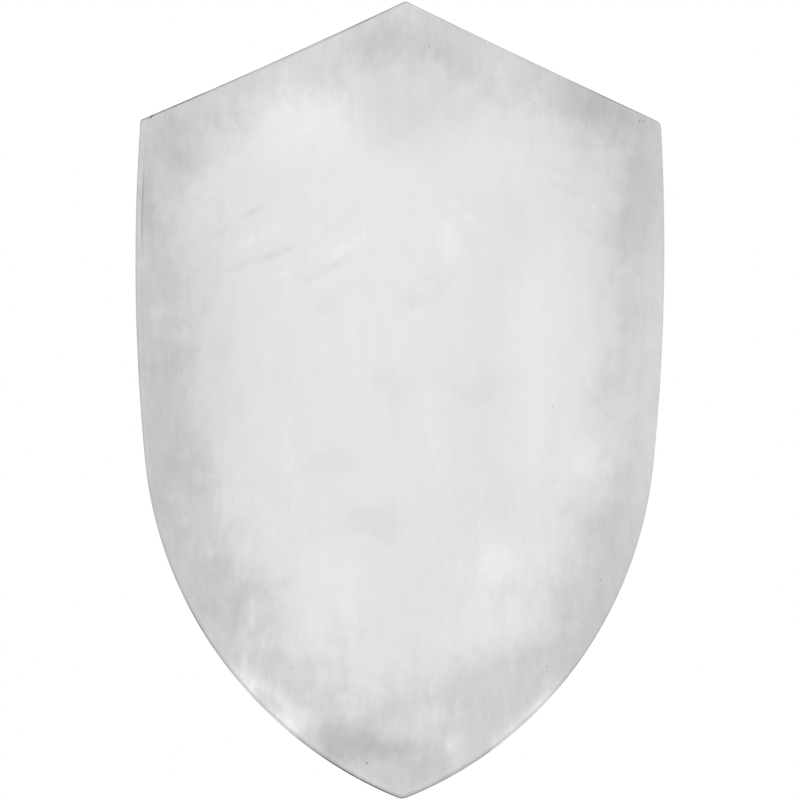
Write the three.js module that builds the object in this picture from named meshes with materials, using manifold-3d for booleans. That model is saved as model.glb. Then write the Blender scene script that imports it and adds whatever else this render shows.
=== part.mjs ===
// A four point shield: a curved steel plate with a rolled edge, and on its back a buckled
// forearm strap and a hand grip, both hung on welded loops.
// Millimetres. +Z is up, the face looks along -Y, and the origin is where the hand closes.
import * as THREE from "three";
import { mergeVertices } from "three/addons/utils/BufferGeometryUtils.js";
import Module from "manifold-3d";

const wasm = await Module();
wasm.setup();

const degrees = THREE.MathUtils.degToRad;
const quarterTurn = Math.PI / 2;

// The shield's outline, as seen from the front, before its four points are rounded
const shieldHeight = 763.5; // from the top point to the foot
const widestHalfWidth = 255;
const widestHeight = 521; // above the foot
const shoulderDrop = 114.5; // below the top point
const upperSideRadius = 2005;
const lowerSideRadius = 388;
const topEdgeHollow = 1.2; // how far a top edge dips below a straight line
const topPointRadius = 5;
const rightShoulderRadius = 8;
const leftShoulderRadius = 3;
const footRadius = 12;

// The sheet, its bend and its rolled edge
const sheetThickness = 1.5; // 16 gauge
const bendRadius = 560; // of the face, about an upright axis
const rollDiameter = 7;
const rollSweep = degrees(292);

// The leather of both straps, and how it folds round a bar
const strapThickness = 3.5;
const leatherEdge = 0.5; // the bevel along a strap's edges
const foldAngle = degrees(40); // between the folded end and the strap, at the bar
const foldBend = 6;
const foldMargin = 3.5; // of leather past the last rivet's head

// The forearm strap
const armStrap = {
  width: 38,
  across: 105, // from the shield's middle
  height: 410, // of the strap's middle, above the foot
  span: 172, // between its two loops
  arch: 95, // from the plate to the middle of the leather
  bend: 32,
  lean: degrees(6),
  rivetPlace: 23, // from the loop, along the strap
  rivetSpread: 20,
};
const tailSlope = degrees(20); // where the tail climbs on to the buckle half
const tailCurve = 15;
const tailBend = degrees(24); // where the tail follows the arch down
const tailEnd = 30; // the straight end of the tail past that
const tailPoint = 19; // the length of its pointed tip

// The hand grip and its lining
const gripStrap = {
  width: 30,
  across: -125,
  height: 410,
  span: 128,
  arch: 55,
  bend: 22,
  lean: degrees(12),
  rivetPlace: 18.5,
  rivetSpread: 15,
};
const linerThickness = 3;
const linerStart = 12; // from the loop, along the strap

// The welded loops
const loopWire = 6;
const loopBarHeight = 10; // from the plate to the middle of the bar
const loopCorner = 5;
const weldRadius = 5.5;
const weldHeight = 3;

// The buckle
const buckleWire = 5;
const buckleLength = 28; // from the heel bar to the front bar, along the strap
const buckleCorner = 5;
const heelPlace = -4; // of the heel bar, above the strap's middle
const heelRivetPlace = 15; // from the heel bar, along the strap
const prongWidth = 3.6;
const prongThickness = 2.6;
const prongCurl = degrees(265);
const prongHeading = degrees(120);
const prongRise = 11.5;
const prongArch = 8;
const prongOverhang = 4; // past the front bar
const prongPlay = degrees(10); // how far the prong lifts before its hole stops it
const prongHoleWidth = 5.4;
const strapHole = 5;
const holePitch = 20;

// The keeper on the tail
const keeperWidth = 10;
const keeperThickness = 2.5;
const keeperPlay = 2; // each way along the strap

// Rivets, and the burrs they are closed over
const rivetShank = 3;
const rivetHead = 9;
const rivetHeadHeight = 1.8;
const rivetRim = 0.6; // the upright edge of the head
const rivetEnd = 4.4; // the closed-over end, across
const rivetEndHeight = 0.9;
const burrDiameter = 8;
const burrThickness = 1;

// Clearances
const seatGap = 0.3; // between a piece and what it rests on
const sideGap = 1; // beside a strap in its buckle
const loopSideGap = 2.5; // beside a strap in its loop
const keeperGap = 0.4;
const metalEdge = 0.4; // the bevel on the prong
const overrun = 5; // of a cutting tool past what it cuts

// How finely round shapes are drawn
const turnStep = degrees(18);
const wireSides = 8;
const rivetSides = 10;
const topEdgeSteps = 6;
const upperSideSteps = 5;
const lowerSideSteps = 16;
const pointSteps = 3;
const rollSteps = 8;
const faceSteps = 10;

const finishes = {
  plate: { color: "#c9cac9", roughness: 0.38, metalness: 1 },
  loop: { color: "#8f9092", roughness: 0.45, metalness: 1 },
  buckle: { color: "#b5b3ad", roughness: 0.3, metalness: 1 },
  rivet: { color: "#a9a8a4", roughness: 0.35, metalness: 1 },
  strap: { color: "#5a3620", roughness: 0.68, metalness: 0 },
  liner: { color: "#8b6a48", roughness: 0.82, metalness: 0 },
};

// Closed solids

// Joins rings of points, one to the next, into a closed skin. The rings turn right-handed about
// the way they travel. The skin ends in a fan round each end point, or runs round to its start.
function loft(rings, ends) {
  const count = rings[0].length;
  const points = [...rings.flat(), ...(ends ?? [])];
  const faces = [];
  const at = (ring, i) => (ring % rings.length) * count + (i % count);
  for (let ring = 0; ring < rings.length - (ends ? 1 : 0); ring += 1) {
    for (let i = 0; i < count; i += 1) {
      faces.push([at(ring, i), at(ring, i + 1), at(ring + 1, i + 1)]);
      faces.push([at(ring, i), at(ring + 1, i + 1), at(ring + 1, i)]);
    }
  }
  if (ends) {
    const start = points.length - 2;
    for (let i = 0; i < count; i += 1) {
      faces.push([start, at(0, i + 1), at(0, i)]);
      faces.push([start + 1, at(rings.length - 1, i), at(rings.length - 1, i + 1)]);
    }
  }
  const skin = new THREE.BufferGeometry().setFromPoints(points);
  skin.setIndex(faces.flat());
  return withoutSlivers(skin);
}

// Welds points that coincide and drops the faces that this leaves without area.
function withoutSlivers(skin) {
  const welded = mergeVertices(skin);
  const index = Array.from(welded.index.array);
  const kept = [];
  for (let i = 0; i < index.length; i += 3) {
    const [a, b, c] = index.slice(i, i + 3);
    if (a !== b && b !== c && c !== a) kept.push(a, b, c);
  }
  welded.setIndex(kept);
  welded.computeVertexNormals();
  return welded;
}

function solidFrom(geometry) {
  const bare = geometry.clone();
  bare.deleteAttribute("normal");
  bare.deleteAttribute("uv");
  const merged = mergeVertices(bare);
  return new wasm.Manifold(
    new wasm.Mesh({
      numProp: 3,
      vertProperties: new Float32Array(merged.attributes.position.array),
      triVerts: new Uint32Array(merged.index.array),
    }),
  );
}

function geometryFrom(solid) {
  const { vertProperties, triVerts } = solid.getMesh();
  const geometry = new THREE.BufferGeometry();
  geometry.setAttribute("position", new THREE.BufferAttribute(vertProperties, 3));
  geometry.setIndex(Array.from(triVerts));
  geometry.computeVertexNormals();
  return geometry;
}

function cut(geometry, tools) {
  const solids = tools.map(solidFrom);
  return geometryFrom(solids.reduce((left, tool) => left.subtract(tool), solidFrom(geometry)));
}

function join(geometries) {
  return geometryFrom(geometries.map(solidFrom).reduce((whole, part) => whole.add(part)));
}

// Routes: a strap or a bent wire drawn in one plane, as straight runs and turns

class Route {
  constructor(x, y, heading) {
    this.points = [new THREE.Vector2(x, y)];
    this.heading = heading;
  }

  get end() {
    return this.points.at(-1);
  }

  ahead(length) {
    this.points.push(stepFrom(this.end, this.heading, length));
    return this;
  }

  // A turn to the left is positive.
  turn(angle, radius) {
    const { end } = this;
    const centre = stepFrom(end, this.heading + quarterTurn, Math.sign(angle) * radius);
    const steps = Math.ceil(Math.abs(angle) / turnStep);
    for (let i = 1; i <= steps; i += 1) {
      this.points.push(end.clone().rotateAround(centre, (angle * i) / steps));
    }
    this.heading += angle;
    return this;
  }

  turnRound() {
    this.points.reverse();
    this.heading += Math.PI;
    return this;
  }

  mirrored() {
    this.points = this.points.map(({ x, y }) => new THREE.Vector2(-x, y));
    return this;
  }

  // At each point, how far its left side moves for each unit of distance from the route.
  mitres(closed) {
    const { points } = this;
    const runs = points.map((point, i) => {
      const next = points[(i + 1) % points.length];
      return next.clone().sub(point).normalize();
    });
    return points.map((point, i) => {
      const before = closed || i > 0 ? runs.at(i - 1) : runs[i];
      const after = closed || i < points.length - 1 ? runs[i] : before;
      const left = new THREE.Vector2(-before.y - after.y, before.x + after.x);
      return left.divideScalar(1 + before.dot(after));
    });
  }

  leftSide(distance) {
    const mitres = this.mitres(false);
    return this.points.map((point, i) => point.clone().addScaledVector(mitres[i], distance));
  }
}

function stepFrom(point, heading, length) {
  const step = new THREE.Vector2(Math.cos(heading), Math.sin(heading));
  return point.clone().addScaledVector(step, length);
}

// A round wire along a route.
function wire(route, diameter, closed = false) {
  const mitres = route.mitres(closed);
  const rings = route.points.map((point, i) => {
    const ring = [];
    for (let side = 0; side < wireSides; side += 1) {
      const angle = ((side + 1 / 2) * Math.PI * 2) / wireSides;
      const out = mitres[i].clone().multiplyScalar((Math.cos(angle) * diameter) / 2).add(point);
      ring.push(new THREE.Vector3(out.x, out.y, (Math.sin(angle) * diameter) / 2));
    }
    return ring;
  });
  const ends = [route.points[0], route.end].map(({ x, y }) => new THREE.Vector3(x, y, 0));
  return loft(rings, closed ? null : ends);
}

// A strap's side view is drawn upwards along x and off the plate along y. In the strap's group
// +Z is up, +Y stands off the plate and X runs across the strap.
const fromSideView = new THREE.Matrix4().makeBasis(
  new THREE.Vector3(0, 0, 1),
  new THREE.Vector3(0, 1, 0),
  new THREE.Vector3(-1, 0, 0),
);

// Turns +Y to an angle of the side view and moves the origin to a point of it.
function placing(point, angle, across = 0) {
  const turned = new THREE.Matrix4().makeRotationX(quarterTurn - angle);
  return turned.setPosition(across, point.y, point.x);
}

// A strip of even thickness along a side view's route, with bevelled edges.
function strip(route, thickness, width, edge) {
  const outline = [
    ...route.leftSide(thickness / 2),
    ...route.leftSide(-thickness / 2).reverse(),
  ];
  const geometry = new THREE.ExtrudeGeometry(new THREE.Shape(outline), {
    depth: width - edge * 2,
    bevelThickness: edge,
    bevelSize: edge,
    bevelOffset: -edge,
    bevelSegments: 1,
  });
  return geometry.translate(0, 0, edge - width / 2).applyMatrix4(fromSideView);
}

// A rod or a slot to cut with, through a strap at a point of its side view.
function drill(place, length, width, depth) {
  const straight = Math.max(length - width, 0) / 2;
  const outline = new THREE.Shape();
  outline.absarc(0, straight, width / 2, 0, Math.PI);
  outline.absarc(0, -straight, width / 2, Math.PI, Math.PI * 2);
  const rod = new THREE.ExtrudeGeometry(outline, {
    depth,
    bevelEnabled: false,
    curveSegments: rivetSides / 2,
  });
  return rod.translate(0, 0, -depth / 2).rotateX(-quarterTurn).applyMatrix4(place);
}

// The plate

// The upper and the lower arc of a side touch, and the lower one ends at the foot. Angles are
// counted downwards from level.
function sideArcs() {
  const upper = new THREE.Vector2(widestHalfWidth - upperSideRadius, widestHeight);
  const apart = upperSideRadius - lowerSideRadius;
  const slant = Math.atan2(-upper.y, upper.x);
  const closing = lowerSideRadius ** 2 - apart ** 2 - upper.lengthSq();
  const meeting = slant + Math.acos(closing / (2 * apart * upper.length()));
  const lower = stepFrom(upper, -meeting, apart);
  const shoulder = Math.asin((widestHeight - shieldHeight + shoulderDrop) / upperSideRadius);
  const foot = Math.atan2(lower.y, -lower.x);
  return [
    { centre: upper, radius: upperSideRadius, from: shoulder, to: meeting, steps: upperSideSteps },
    { centre: lower, radius: lowerSideRadius, from: meeting, to: foot, steps: lowerSideSteps },
  ];
}

function pointsOfArc({ centre, radius, from, to, steps }) {
  const places = Array.from({ length: steps + 1 }, (_, i) => from + ((to - from) * i) / steps);
  return places.map((angle) => stepFrom(centre, -angle, radius));
}

// The right half of the outline, seen from the front, from the top point to the foot.
function rightHalf() {
  const [upper, lower] = sideArcs().map(pointsOfArc);
  const top = new THREE.Vector2(0, shieldHeight);
  const shoulder = upper[0];
  const bow = new THREE.Vector2(top.y - shoulder.y, shoulder.x).setLength(topEdgeHollow * 2);
  const control = top.clone().add(shoulder).divideScalar(2).sub(bow);
  const edge = new THREE.QuadraticBezierCurve(top, control, shoulder).getPoints(topEdgeSteps);
  return [...edge, ...upper.slice(1), ...lower.slice(1)];
}

// The flat sheet's outline, clockwise from the top point, with the radius of its four corners.
function sheetOutline() {
  const right = rightHalf();
  const left = right.slice(1, -1).map(({ x, y }) => new THREE.Vector2(-x, y));
  const flat = ({ x, y }) => new THREE.Vector2(bendRadius * Math.asin(x / bendRadius), y);
  const points = [...right, ...left.reverse()].map(flat);
  const radii = new Map([
    [0, topPointRadius],
    [topEdgeSteps, rightShoulderRadius],
    [right.length - 1, footRadius],
    [points.length - topEdgeSteps, leftShoulderRadius],
  ]);
  return points.map((point, i) => ({ point, radius: radii.get(i) ?? 0 }));
}

// The sheet's outline drawn in by a distance. Inside its own radius a corner stays a mitre.
function drawnIn(outline, distance) {
  const count = outline.length;
  return outline.flatMap(({ point, radius }, i) => {
    const before = point.clone().sub(outline.at(i - 1).point).normalize();
    const after = outline[(i + 1) % count].point.clone().sub(point).normalize();
    const mitre = new THREE.Vector2(before.y + after.y, -before.x - after.x);
    mitre.divideScalar(1 + before.dot(after));
    if (!radius) return [point.clone().addScaledVector(mitre, distance)];
    const centre = point.clone().addScaledVector(mitre, Math.max(radius, distance));
    const reach = Math.max(radius - distance, 0);
    const turn = after.angle() - before.angle();
    const bend = Math.atan2(Math.sin(turn), Math.cos(turn));
    const first = before.angle() + quarterTurn;
    const places = Array.from({ length: pointSteps + 1 }, (_, k) => first + (bend * k) / pointSteps);
    return places.map((angle) => stepFrom(centre, angle, reach));
  });
}

// Where a point of the flat sheet lies once the sheet is bent, at a depth behind its face.
function bent({ x, y }, depth) {
  const angle = x / bendRadius;
  const reach = bendRadius - depth;
  return new THREE.Vector3(reach * Math.sin(angle), bendRadius - reach * Math.cos(angle), y);
}

// The rolled edge in section: how far in from the edge, and how deep behind the face. The sheet
// curls back from its face, all the way round to its own back.
function rollSection(radius) {
  const middle = rollDiameter / 2;
  const places = Array.from({ length: rollSteps + 1 }, (_, i) => (rollSweep * i) / rollSteps);
  return places.map((angle) => ({
    inset: middle - radius * Math.sin(angle),
    depth: middle - radius * Math.cos(angle),
  }));
}

function plateGeometry() {
  const outline = sheetOutline();
  const outside = rollSection(rollDiameter / 2);
  const inside = rollSection(rollDiameter / 2 - sheetThickness).reverse();
  const roll = [...outside, ...inside].map(({ inset, depth }) =>
    drawnIn(outline, inset).map((point) => bent(point, depth)),
  );
  const middle = new THREE.Vector2(0, widestHeight);
  const edge = drawnIn(outline, rollDiameter / 2);
  const shares = Array.from({ length: faceSteps - 1 }, (_, i) => (i + 1) / faceSteps);
  const facing = (depth) =>
    shares.map((share) => edge.map((point) => bent(middle.clone().lerp(point, share), depth)));
  const rings = [...facing(0), ...roll, ...facing(sheetThickness).reverse()];
  return loft(rings, [bent(middle, 0), bent(middle, sheetThickness)]);
}

// What stands on the plate's back

const backRadius = bendRadius - sheetThickness;

// A group on the back of the plate, with +Y straight off it there.
function groupOnBack({ across, height }) {
  const group = new THREE.Group();
  const angle = Math.asin(across / backRadius);
  group.position.set(across, bendRadius - backRadius * Math.cos(angle), height);
  group.rotation.z = angle;
  return group;
}

// How far the hollow back rises beside the middle of a group.
function riseOfBack(aside) {
  return backRadius - Math.sqrt(backRadius ** 2 - aside ** 2);
}

// A square loop of wire with a weld round each foot.
function loopGeometry(strapWidth) {
  const aside = strapWidth / 2 + loopSideGap + loopWire / 2;
  const seat = riseOfBack(aside) + seatGap;
  const foot = seat + weldHeight / 4;
  const leg = loopBarHeight - loopCorner - foot;
  const route = new Route(-aside, foot, quarterTurn);
  route.ahead(leg).turn(-quarterTurn, loopCorner);
  route.ahead((aside - loopCorner) * 2).turn(-quarterTurn, loopCorner).ahead(leg);
  const welds = [-aside, aside].map((place) => {
    const weld = new THREE.CylinderGeometry(loopWire / 2, weldRadius, weldHeight, rivetSides);
    weld.translate(0, weldHeight / 2, 0).rotateZ(Math.asin(place / backRadius));
    return weld.translate(place, seat, 0);
  });
  return join([wire(route, loopWire), ...welds]);
}

// Straps

// A folded end lies this far from the strap, and reaches this far from its bar.
const foldOffset = strapThickness + seatGap;
const loopWrap = loopWire / 2 + seatGap + strapThickness / 2;
const heelWrap = buckleWire / 2 + seatGap + strapThickness / 2;

// Folds the strap round a bar on its left (side 1) or its right (side -1), and back along itself
// as far as a place counted from the bar.
function foldBack(route, side, wrap, place) {
  const fall = wrap * (1 + Math.cos(foldAngle)) - foldOffset - foldBend * (1 - Math.cos(foldAngle));
  const slant = fall / Math.sin(foldAngle);
  const reach = (wrap + foldBend) * Math.sin(foldAngle) + slant * Math.cos(foldAngle);
  route.turn(side * (Math.PI + foldAngle), wrap).ahead(slant);
  return route.turn(-side * foldAngle, foldBend).ahead(place - reach);
}

// One leg of a strap's arch, from its upper loop to the level run along the top.
function legOf({ span, arch, bend, lean }) {
  const x = span / 2 - loopWrap * Math.cos(lean);
  const y = loopBarHeight - loopWrap * Math.sin(lean);
  const length = (arch - y - bend * (1 - Math.sin(lean))) / Math.cos(lean);
  const topHalf = x - length * Math.sin(lean) - bend * Math.cos(lean);
  return { x, y, length, topHalf, heading: quarterTurn + lean, turn: quarterTurn - lean };
}

// The route of a strap from its folded end, round the upper loop and over the first bend.
function routeFromLoop(strap) {
  const leg = legOf(strap);
  const route = new Route(leg.x, leg.y, leg.heading + Math.PI);
  foldBack(route, 1, loopWrap, strap.rivetPlace + rivetHead / 2 + foldMargin).turnRound();
  route.heading = leg.heading;
  return route.ahead(leg.length).turn(leg.turn, strap.bend);
}

// A pair of rivets through a strap's folded end, side by side. From the middle of the strap the
// head lies at `outer` and the burr at `inner`.
function loopRivets(strap, name, mirror, inner) {
  const leg = legOf(strap);
  const at = stepFrom(new THREE.Vector2(leg.x, leg.y), leg.heading, strap.rivetPlace);
  const facing = leg.heading - quarterTurn;
  return [-1, 1].map((side) => ({
    name: `${name}_${side < 0 ? "left" : "right"}`,
    point: new THREE.Vector2(mirror * at.x, at.y),
    angle: mirror < 0 ? Math.PI - facing : facing,
    across: (side * strap.rivetSpread) / 2,
    outer: foldOffset + strapThickness / 2,
    inner,
  }));
}

function rivetHole({ point, angle, across, outer, inner }) {
  const size = rivetShank + seatGap * 2;
  return drill(placing(point, angle, across), size, size, (outer + inner + overrun) * 2);
}

function ringProfile(corners) {
  return new THREE.LatheGeometry(
    corners.map(([x, y]) => new THREE.Vector2(x, y)),
    rivetSides,
  );
}

function addRivet(group, rivet) {
  const top = rivet.outer + seatGap;
  const burrTop = -rivet.inner - seatGap;
  const burrFoot = burrTop - burrThickness;
  const closed = burrFoot - seatGap;
  const body = ringProfile([
    [0, closed - rivetEndHeight],
    [rivetEnd / 2, closed - rivetEndHeight],
    [rivetEnd / 2, closed],
    [rivetShank / 2, closed],
    [rivetShank / 2, top],
    [rivetHead / 2, top],
    [rivetHead / 2, top + rivetRim],
    [rivetHead / 4, top + (rivetRim + rivetHeadHeight * 3) / 4],
    [0, top + rivetHeadHeight],
  ]);
  const hole = rivetShank / 2 + seatGap;
  const burr = ringProfile([
    [hole, burrFoot],
    [burrDiameter / 2, burrFoot],
    [burrDiameter / 2, burrTop],
    [hole, burrTop],
    [hole, burrFoot],
  ]);
  const place = placing(rivet.point, rivet.angle, rivet.across);
  addMesh(group, `rivet_${rivet.name}`, body, finishes.rivet).applyMatrix4(place);
  addMesh(group, `burr_${rivet.name}`, burr, finishes.rivet).applyMatrix4(place);
}

// The forearm strap and its buckle

const armLeg = legOf(armStrap);
const tailGap = rivetHeadHeight + seatGap * 2; // the tail lies on the rivet heads
const tailOffset = strapThickness + tailGap;
const heel = new THREE.Vector2(heelPlace, armStrap.arch - heelWrap);
const frontBar = new THREE.Vector2(
  heelPlace - buckleLength,
  armStrap.arch + strapThickness / 2 + seatGap + buckleWire / 2,
);
const keeperRoom = keeperWidth + keeperPlay * 2 + seatGap * 2;
const secondRivetPlace = heelRivetPlace + rivetHead + keeperRoom;

const armInner = strapThickness / 2;
const upperArmRivets = loopRivets(armStrap, "arm_upper", 1, armInner);
const lowerArmRivets = loopRivets(armStrap, "arm_lower", -1, armInner);
const buckleRivets = [heelRivetPlace, secondRivetPlace].map((place, i) => ({
  name: `buckle_${i + 1}`,
  point: new THREE.Vector2(heelPlace + place, armStrap.arch),
  angle: quarterTurn,
  across: 0,
  outer: strapThickness / 2,
  inner: foldOffset + strapThickness / 2,
}));

function buckleHalfGeometry() {
  const route = routeFromLoop(armStrap);
  route.ahead(armLeg.topHalf - heelPlace);
  foldBack(route, 1, heelWrap, secondRivetPlace + rivetHead / 2 + foldMargin);
  const leather = strip(route, strapThickness, armStrap.width, leatherEdge);
  const slotHalf = heelWrap + strapThickness + sideGap;
  const slot = drill(
    placing(heel, quarterTurn),
    slotHalf * 2,
    prongWidth + sideGap * 2,
    (heelWrap + strapThickness + overrun) * 2,
  );
  return cut(leather, [...upperArmRivets, ...buckleRivets].map(rivetHole).concat(slot));
}

// The prong, from the free end of its curl, through the tail and over the front bar.
const prongWrap = buckleWire / 2 + seatGap + prongThickness / 2;
const prongFoot = stepFrom(heel, prongHeading - quarterTurn, prongWrap);

function prongGeometry() {
  const curlStart = prongHeading - quarterTurn - prongCurl;
  const start = stepFrom(heel, curlStart, prongWrap);
  const route = new Route(start.x, start.y, curlStart + quarterTurn);
  route.turn(prongCurl, prongWrap).ahead(prongRise);
  const archCentre = stepFrom(route.end, route.heading + quarterTurn, prongArch);
  const toBar = frontBar.clone().sub(archCentre);
  const lift = prongWrap - prongArch;
  const heading = toBar.angle() - Math.asin(lift / toBar.length());
  route.turn(heading - route.heading, prongArch);
  route.ahead(Math.sqrt(toBar.lengthSq() - lift ** 2) + prongOverhang);
  return strip(route, prongThickness, prongWidth, metalEdge);
}

// Where the prong crosses the middle of the tail, and the hole that lets it in and lets it lift.
function prongHole() {
  const middle = armStrap.arch + tailOffset;
  const x = prongFoot.x + (middle - prongFoot.y) / Math.tan(prongHeading);
  const slide = (middle - heel.y) * prongPlay;
  const lean = strapThickness / Math.abs(Math.tan(prongHeading));
  const cornerRoom = prongHoleWidth / 2 - Math.sqrt(prongHoleWidth ** 2 - prongWidth ** 2) / 2;
  const length =
    prongThickness / Math.sin(prongHeading) + lean + slide + (seatGap + cornerRoom) * 2;
  return { x, centre: x + slide / 2, y: middle, length };
}

// The tail, drawn as if it hung from the upper loop and then mirrored. It passes under the front
// bar, climbs on to the buckle half and ends in a point that stands off the arch.
function tailHalfGeometry() {
  const route = routeFromLoop(armStrap).ahead(armLeg.topHalf + frontBar.x + buckleWire / 2);
  const curved = tailCurve * 2 * (1 - Math.cos(tailSlope));
  const climb = (tailOffset - curved) / Math.sin(tailSlope);
  route.turn(-tailSlope, tailCurve).ahead(climb).turn(tailSlope, tailCurve);
  route.ahead(armLeg.topHalf + route.end.x);
  route.turn(tailBend, armStrap.bend + tailOffset).ahead(tailEnd).mirrored();
  const leather = strip(route, strapThickness, armStrap.width, leatherEdge);
  const hole = prongHole();
  const depth = (strapThickness + overrun) * 2;
  const at = (x, y) => placing(new THREE.Vector2(x, y), quarterTurn);
  const holes = [
    drill(at(hole.centre, hole.y), hole.length, prongHoleWidth, depth),
    drill(at(hole.x + holePitch, hole.y), strapHole, strapHole, depth),
    drill(at(hole.x + holePitch * 2, hole.y), strapHole, strapHole, depth),
    drill(at(hole.x - holePitch * 2, armStrap.arch), strapHole, strapHole, depth),
  ];
  return cut(leather, [...lowerArmRivets.map(rivetHole), ...holes, ...tipTools(route)]);
}

// Two wedges that leave a rounded point at the end of the tail.
function tipTools(route) {
  const along = route.end.clone().sub(route.points.at(-2)).angle();
  const place = placing(route.end, along + quarterTurn);
  const half = armStrap.width / 2;
  return [-1, 1].map((side) => {
    const wedge = new THREE.Shape();
    wedge.moveTo(0, -overrun);
    wedge.lineTo(side * (half + overrun), -overrun);
    wedge.lineTo(side * (half + overrun), tailPoint);
    wedge.lineTo(side * half, tailPoint);
    wedge.quadraticCurveTo(side * half, tailPoint / 3, 0, 0);
    const solid = new THREE.ExtrudeGeometry(wedge, {
      depth: (strapThickness + overrun) * 2,
      bevelEnabled: false,
      curveSegments: rivetSides / 2,
    });
    return solid.translate(0, 0, -strapThickness - overrun).rotateX(-quarterTurn).applyMatrix4(place);
  });
}

// The keeper goes round the buckle half, its fold and the tail.
function keeperGeometry() {
  const half = armStrap.width / 2 + keeperGap;
  const foot = armStrap.arch - foldOffset - strapThickness / 2 - keeperGap;
  const top = armStrap.arch + tailOffset + strapThickness / 2 + keeperGap;
  const wall = keeperThickness;
  const outside = roundedBox(half + wall, foot - wall, top + wall, wall);
  outside.holes.push(roundedBox(half, foot, top, wall / 2));
  const ring = new THREE.ExtrudeGeometry(outside, {
    depth: keeperWidth,
    bevelEnabled: false,
    curveSegments: pointSteps,
  });
  return ring.translate(0, 0, -keeperWidth / 2);
}

function roundedBox(half, low, high, corner) {
  const path = new THREE.Shape();
  path.absarc(half - corner, low + corner, corner, -quarterTurn, 0);
  path.absarc(half - corner, high - corner, corner, 0, quarterTurn);
  path.absarc(corner - half, high - corner, corner, quarterTurn, Math.PI);
  path.absarc(corner - half, low + corner, corner, Math.PI, Math.PI + quarterTurn);
  return path;
}

function frameGeometry() {
  const half = armStrap.width / 2 + sideGap + buckleWire / 2;
  const length = heel.distanceTo(frontBar);
  const route = new Route(buckleCorner - half, 0, 0);
  for (const run of [half * 2, length, half * 2, length]) {
    route.ahead(run - buckleCorner * 2).turn(quarterTurn, buckleCorner);
  }
  route.points.pop();
  const along = new THREE.Vector3(0, frontBar.y - heel.y, frontBar.x - heel.x).normalize();
  const across = new THREE.Vector3(1, 0, 0);
  const frame = new THREE.Matrix4().makeBasis(across, along, across.clone().cross(along));
  return wire(route, buckleWire, true).applyMatrix4(frame.setPosition(0, heel.y, heel.x));
}

// The hand grip: one strap folded round both loops, and the lining under it

const gripLeg = legOf(gripStrap);
const gripInner = strapThickness / 2 + seatGap + linerThickness;
const gripRivets = [
  ...loopRivets(gripStrap, "grip_upper", 1, gripInner),
  ...loopRivets(gripStrap, "grip_lower", -1, gripInner),
];

function gripStrapGeometry() {
  const route = routeFromLoop(gripStrap).ahead(gripLeg.topHalf * 2);
  route.turn(gripLeg.turn, gripStrap.bend).ahead(gripLeg.length);
  foldBack(route, -1, loopWrap, gripStrap.rivetPlace + rivetHead / 2 + foldMargin);
  const leather = strip(route, strapThickness, gripStrap.width, leatherEdge);
  return cut(leather, gripRivets.map(rivetHole));
}

function linerGeometry() {
  const inwards = (strapThickness + linerThickness) / 2 + seatGap;
  const leg = stepFrom(new THREE.Vector2(gripLeg.x, gripLeg.y), gripLeg.heading, linerStart);
  const start = stepFrom(leg, gripLeg.heading + quarterTurn, inwards);
  const route = new Route(start.x, start.y, gripLeg.heading);
  const run = gripLeg.length - linerStart;
  route.ahead(run).turn(gripLeg.turn, gripStrap.bend - inwards).ahead(gripLeg.topHalf * 2);
  route.turn(gripLeg.turn, gripStrap.bend - inwards).ahead(run);
  const leather = strip(route, linerThickness, gripStrap.width, leatherEdge);
  return cut(leather, gripRivets.map(rivetHole));
}

// The assembly

function addMesh(parent, name, geometry, finish) {
  const mesh = new THREE.Mesh(geometry, new THREE.MeshStandardMaterial(finish));
  mesh.name = name;
  parent.add(mesh);
  return mesh;
}

function addLoops(group, strap, name) {
  const loop = loopGeometry(strap.width);
  addMesh(group, `${name}_loop_upper`, loop, finishes.loop).position.z = strap.span / 2;
  addMesh(group, `${name}_loop_lower`, loop, finishes.loop).position.z = -strap.span / 2;
}

function forearmStrap() {
  const group = groupOnBack(armStrap);
  addLoops(group, armStrap, "arm");
  addMesh(group, "arm_strap_buckle_half", buckleHalfGeometry(), finishes.strap);
  addMesh(group, "arm_strap_tail_half", tailHalfGeometry(), finishes.strap);
  addMesh(group, "buckle_frame", frameGeometry(), finishes.buckle);
  addMesh(group, "buckle_prong", prongGeometry(), finishes.buckle);
  const keeper = addMesh(group, "strap_keeper", keeperGeometry(), finishes.strap);
  keeper.position.z = heelPlace + (heelRivetPlace + secondRivetPlace) / 2;
  for (const rivet of [...upperArmRivets, ...lowerArmRivets, ...buckleRivets]) {
    addRivet(group, rivet);
  }
  return group;
}

function handGrip() {
  const group = groupOnBack(gripStrap);
  addLoops(group, gripStrap, "grip");
  addMesh(group, "grip_strap", gripStrapGeometry(), finishes.strap);
  addMesh(group, "grip_liner", linerGeometry(), finishes.liner);
  for (const rivet of gripRivets) addRivet(group, rivet);
  return group;
}

const shield = new THREE.Group();
addMesh(shield, "shield_plate", plateGeometry(), finishes.plate);
const grip = handGrip();
shield.add(grip, forearmStrap());

// The origin is the middle of the grip strap's leather.
grip.updateMatrix();
shield.position.copy(new THREE.Vector3(0, gripStrap.arch, 0).applyMatrix4(grip.matrix).negate());

const fourPointShield = new THREE.Group();
fourPointShield.add(shield);

export default fourPointShield;
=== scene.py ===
"""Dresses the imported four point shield: satin steel, welded loops, leather straps and their buckle."""

import cmath
import math
from collections import namedtuple

import bmesh
import bpy
from bpy.props import FloatProperty, FloatVectorProperty, PointerProperty
from mathutils import Matrix, Vector, noise


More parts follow.
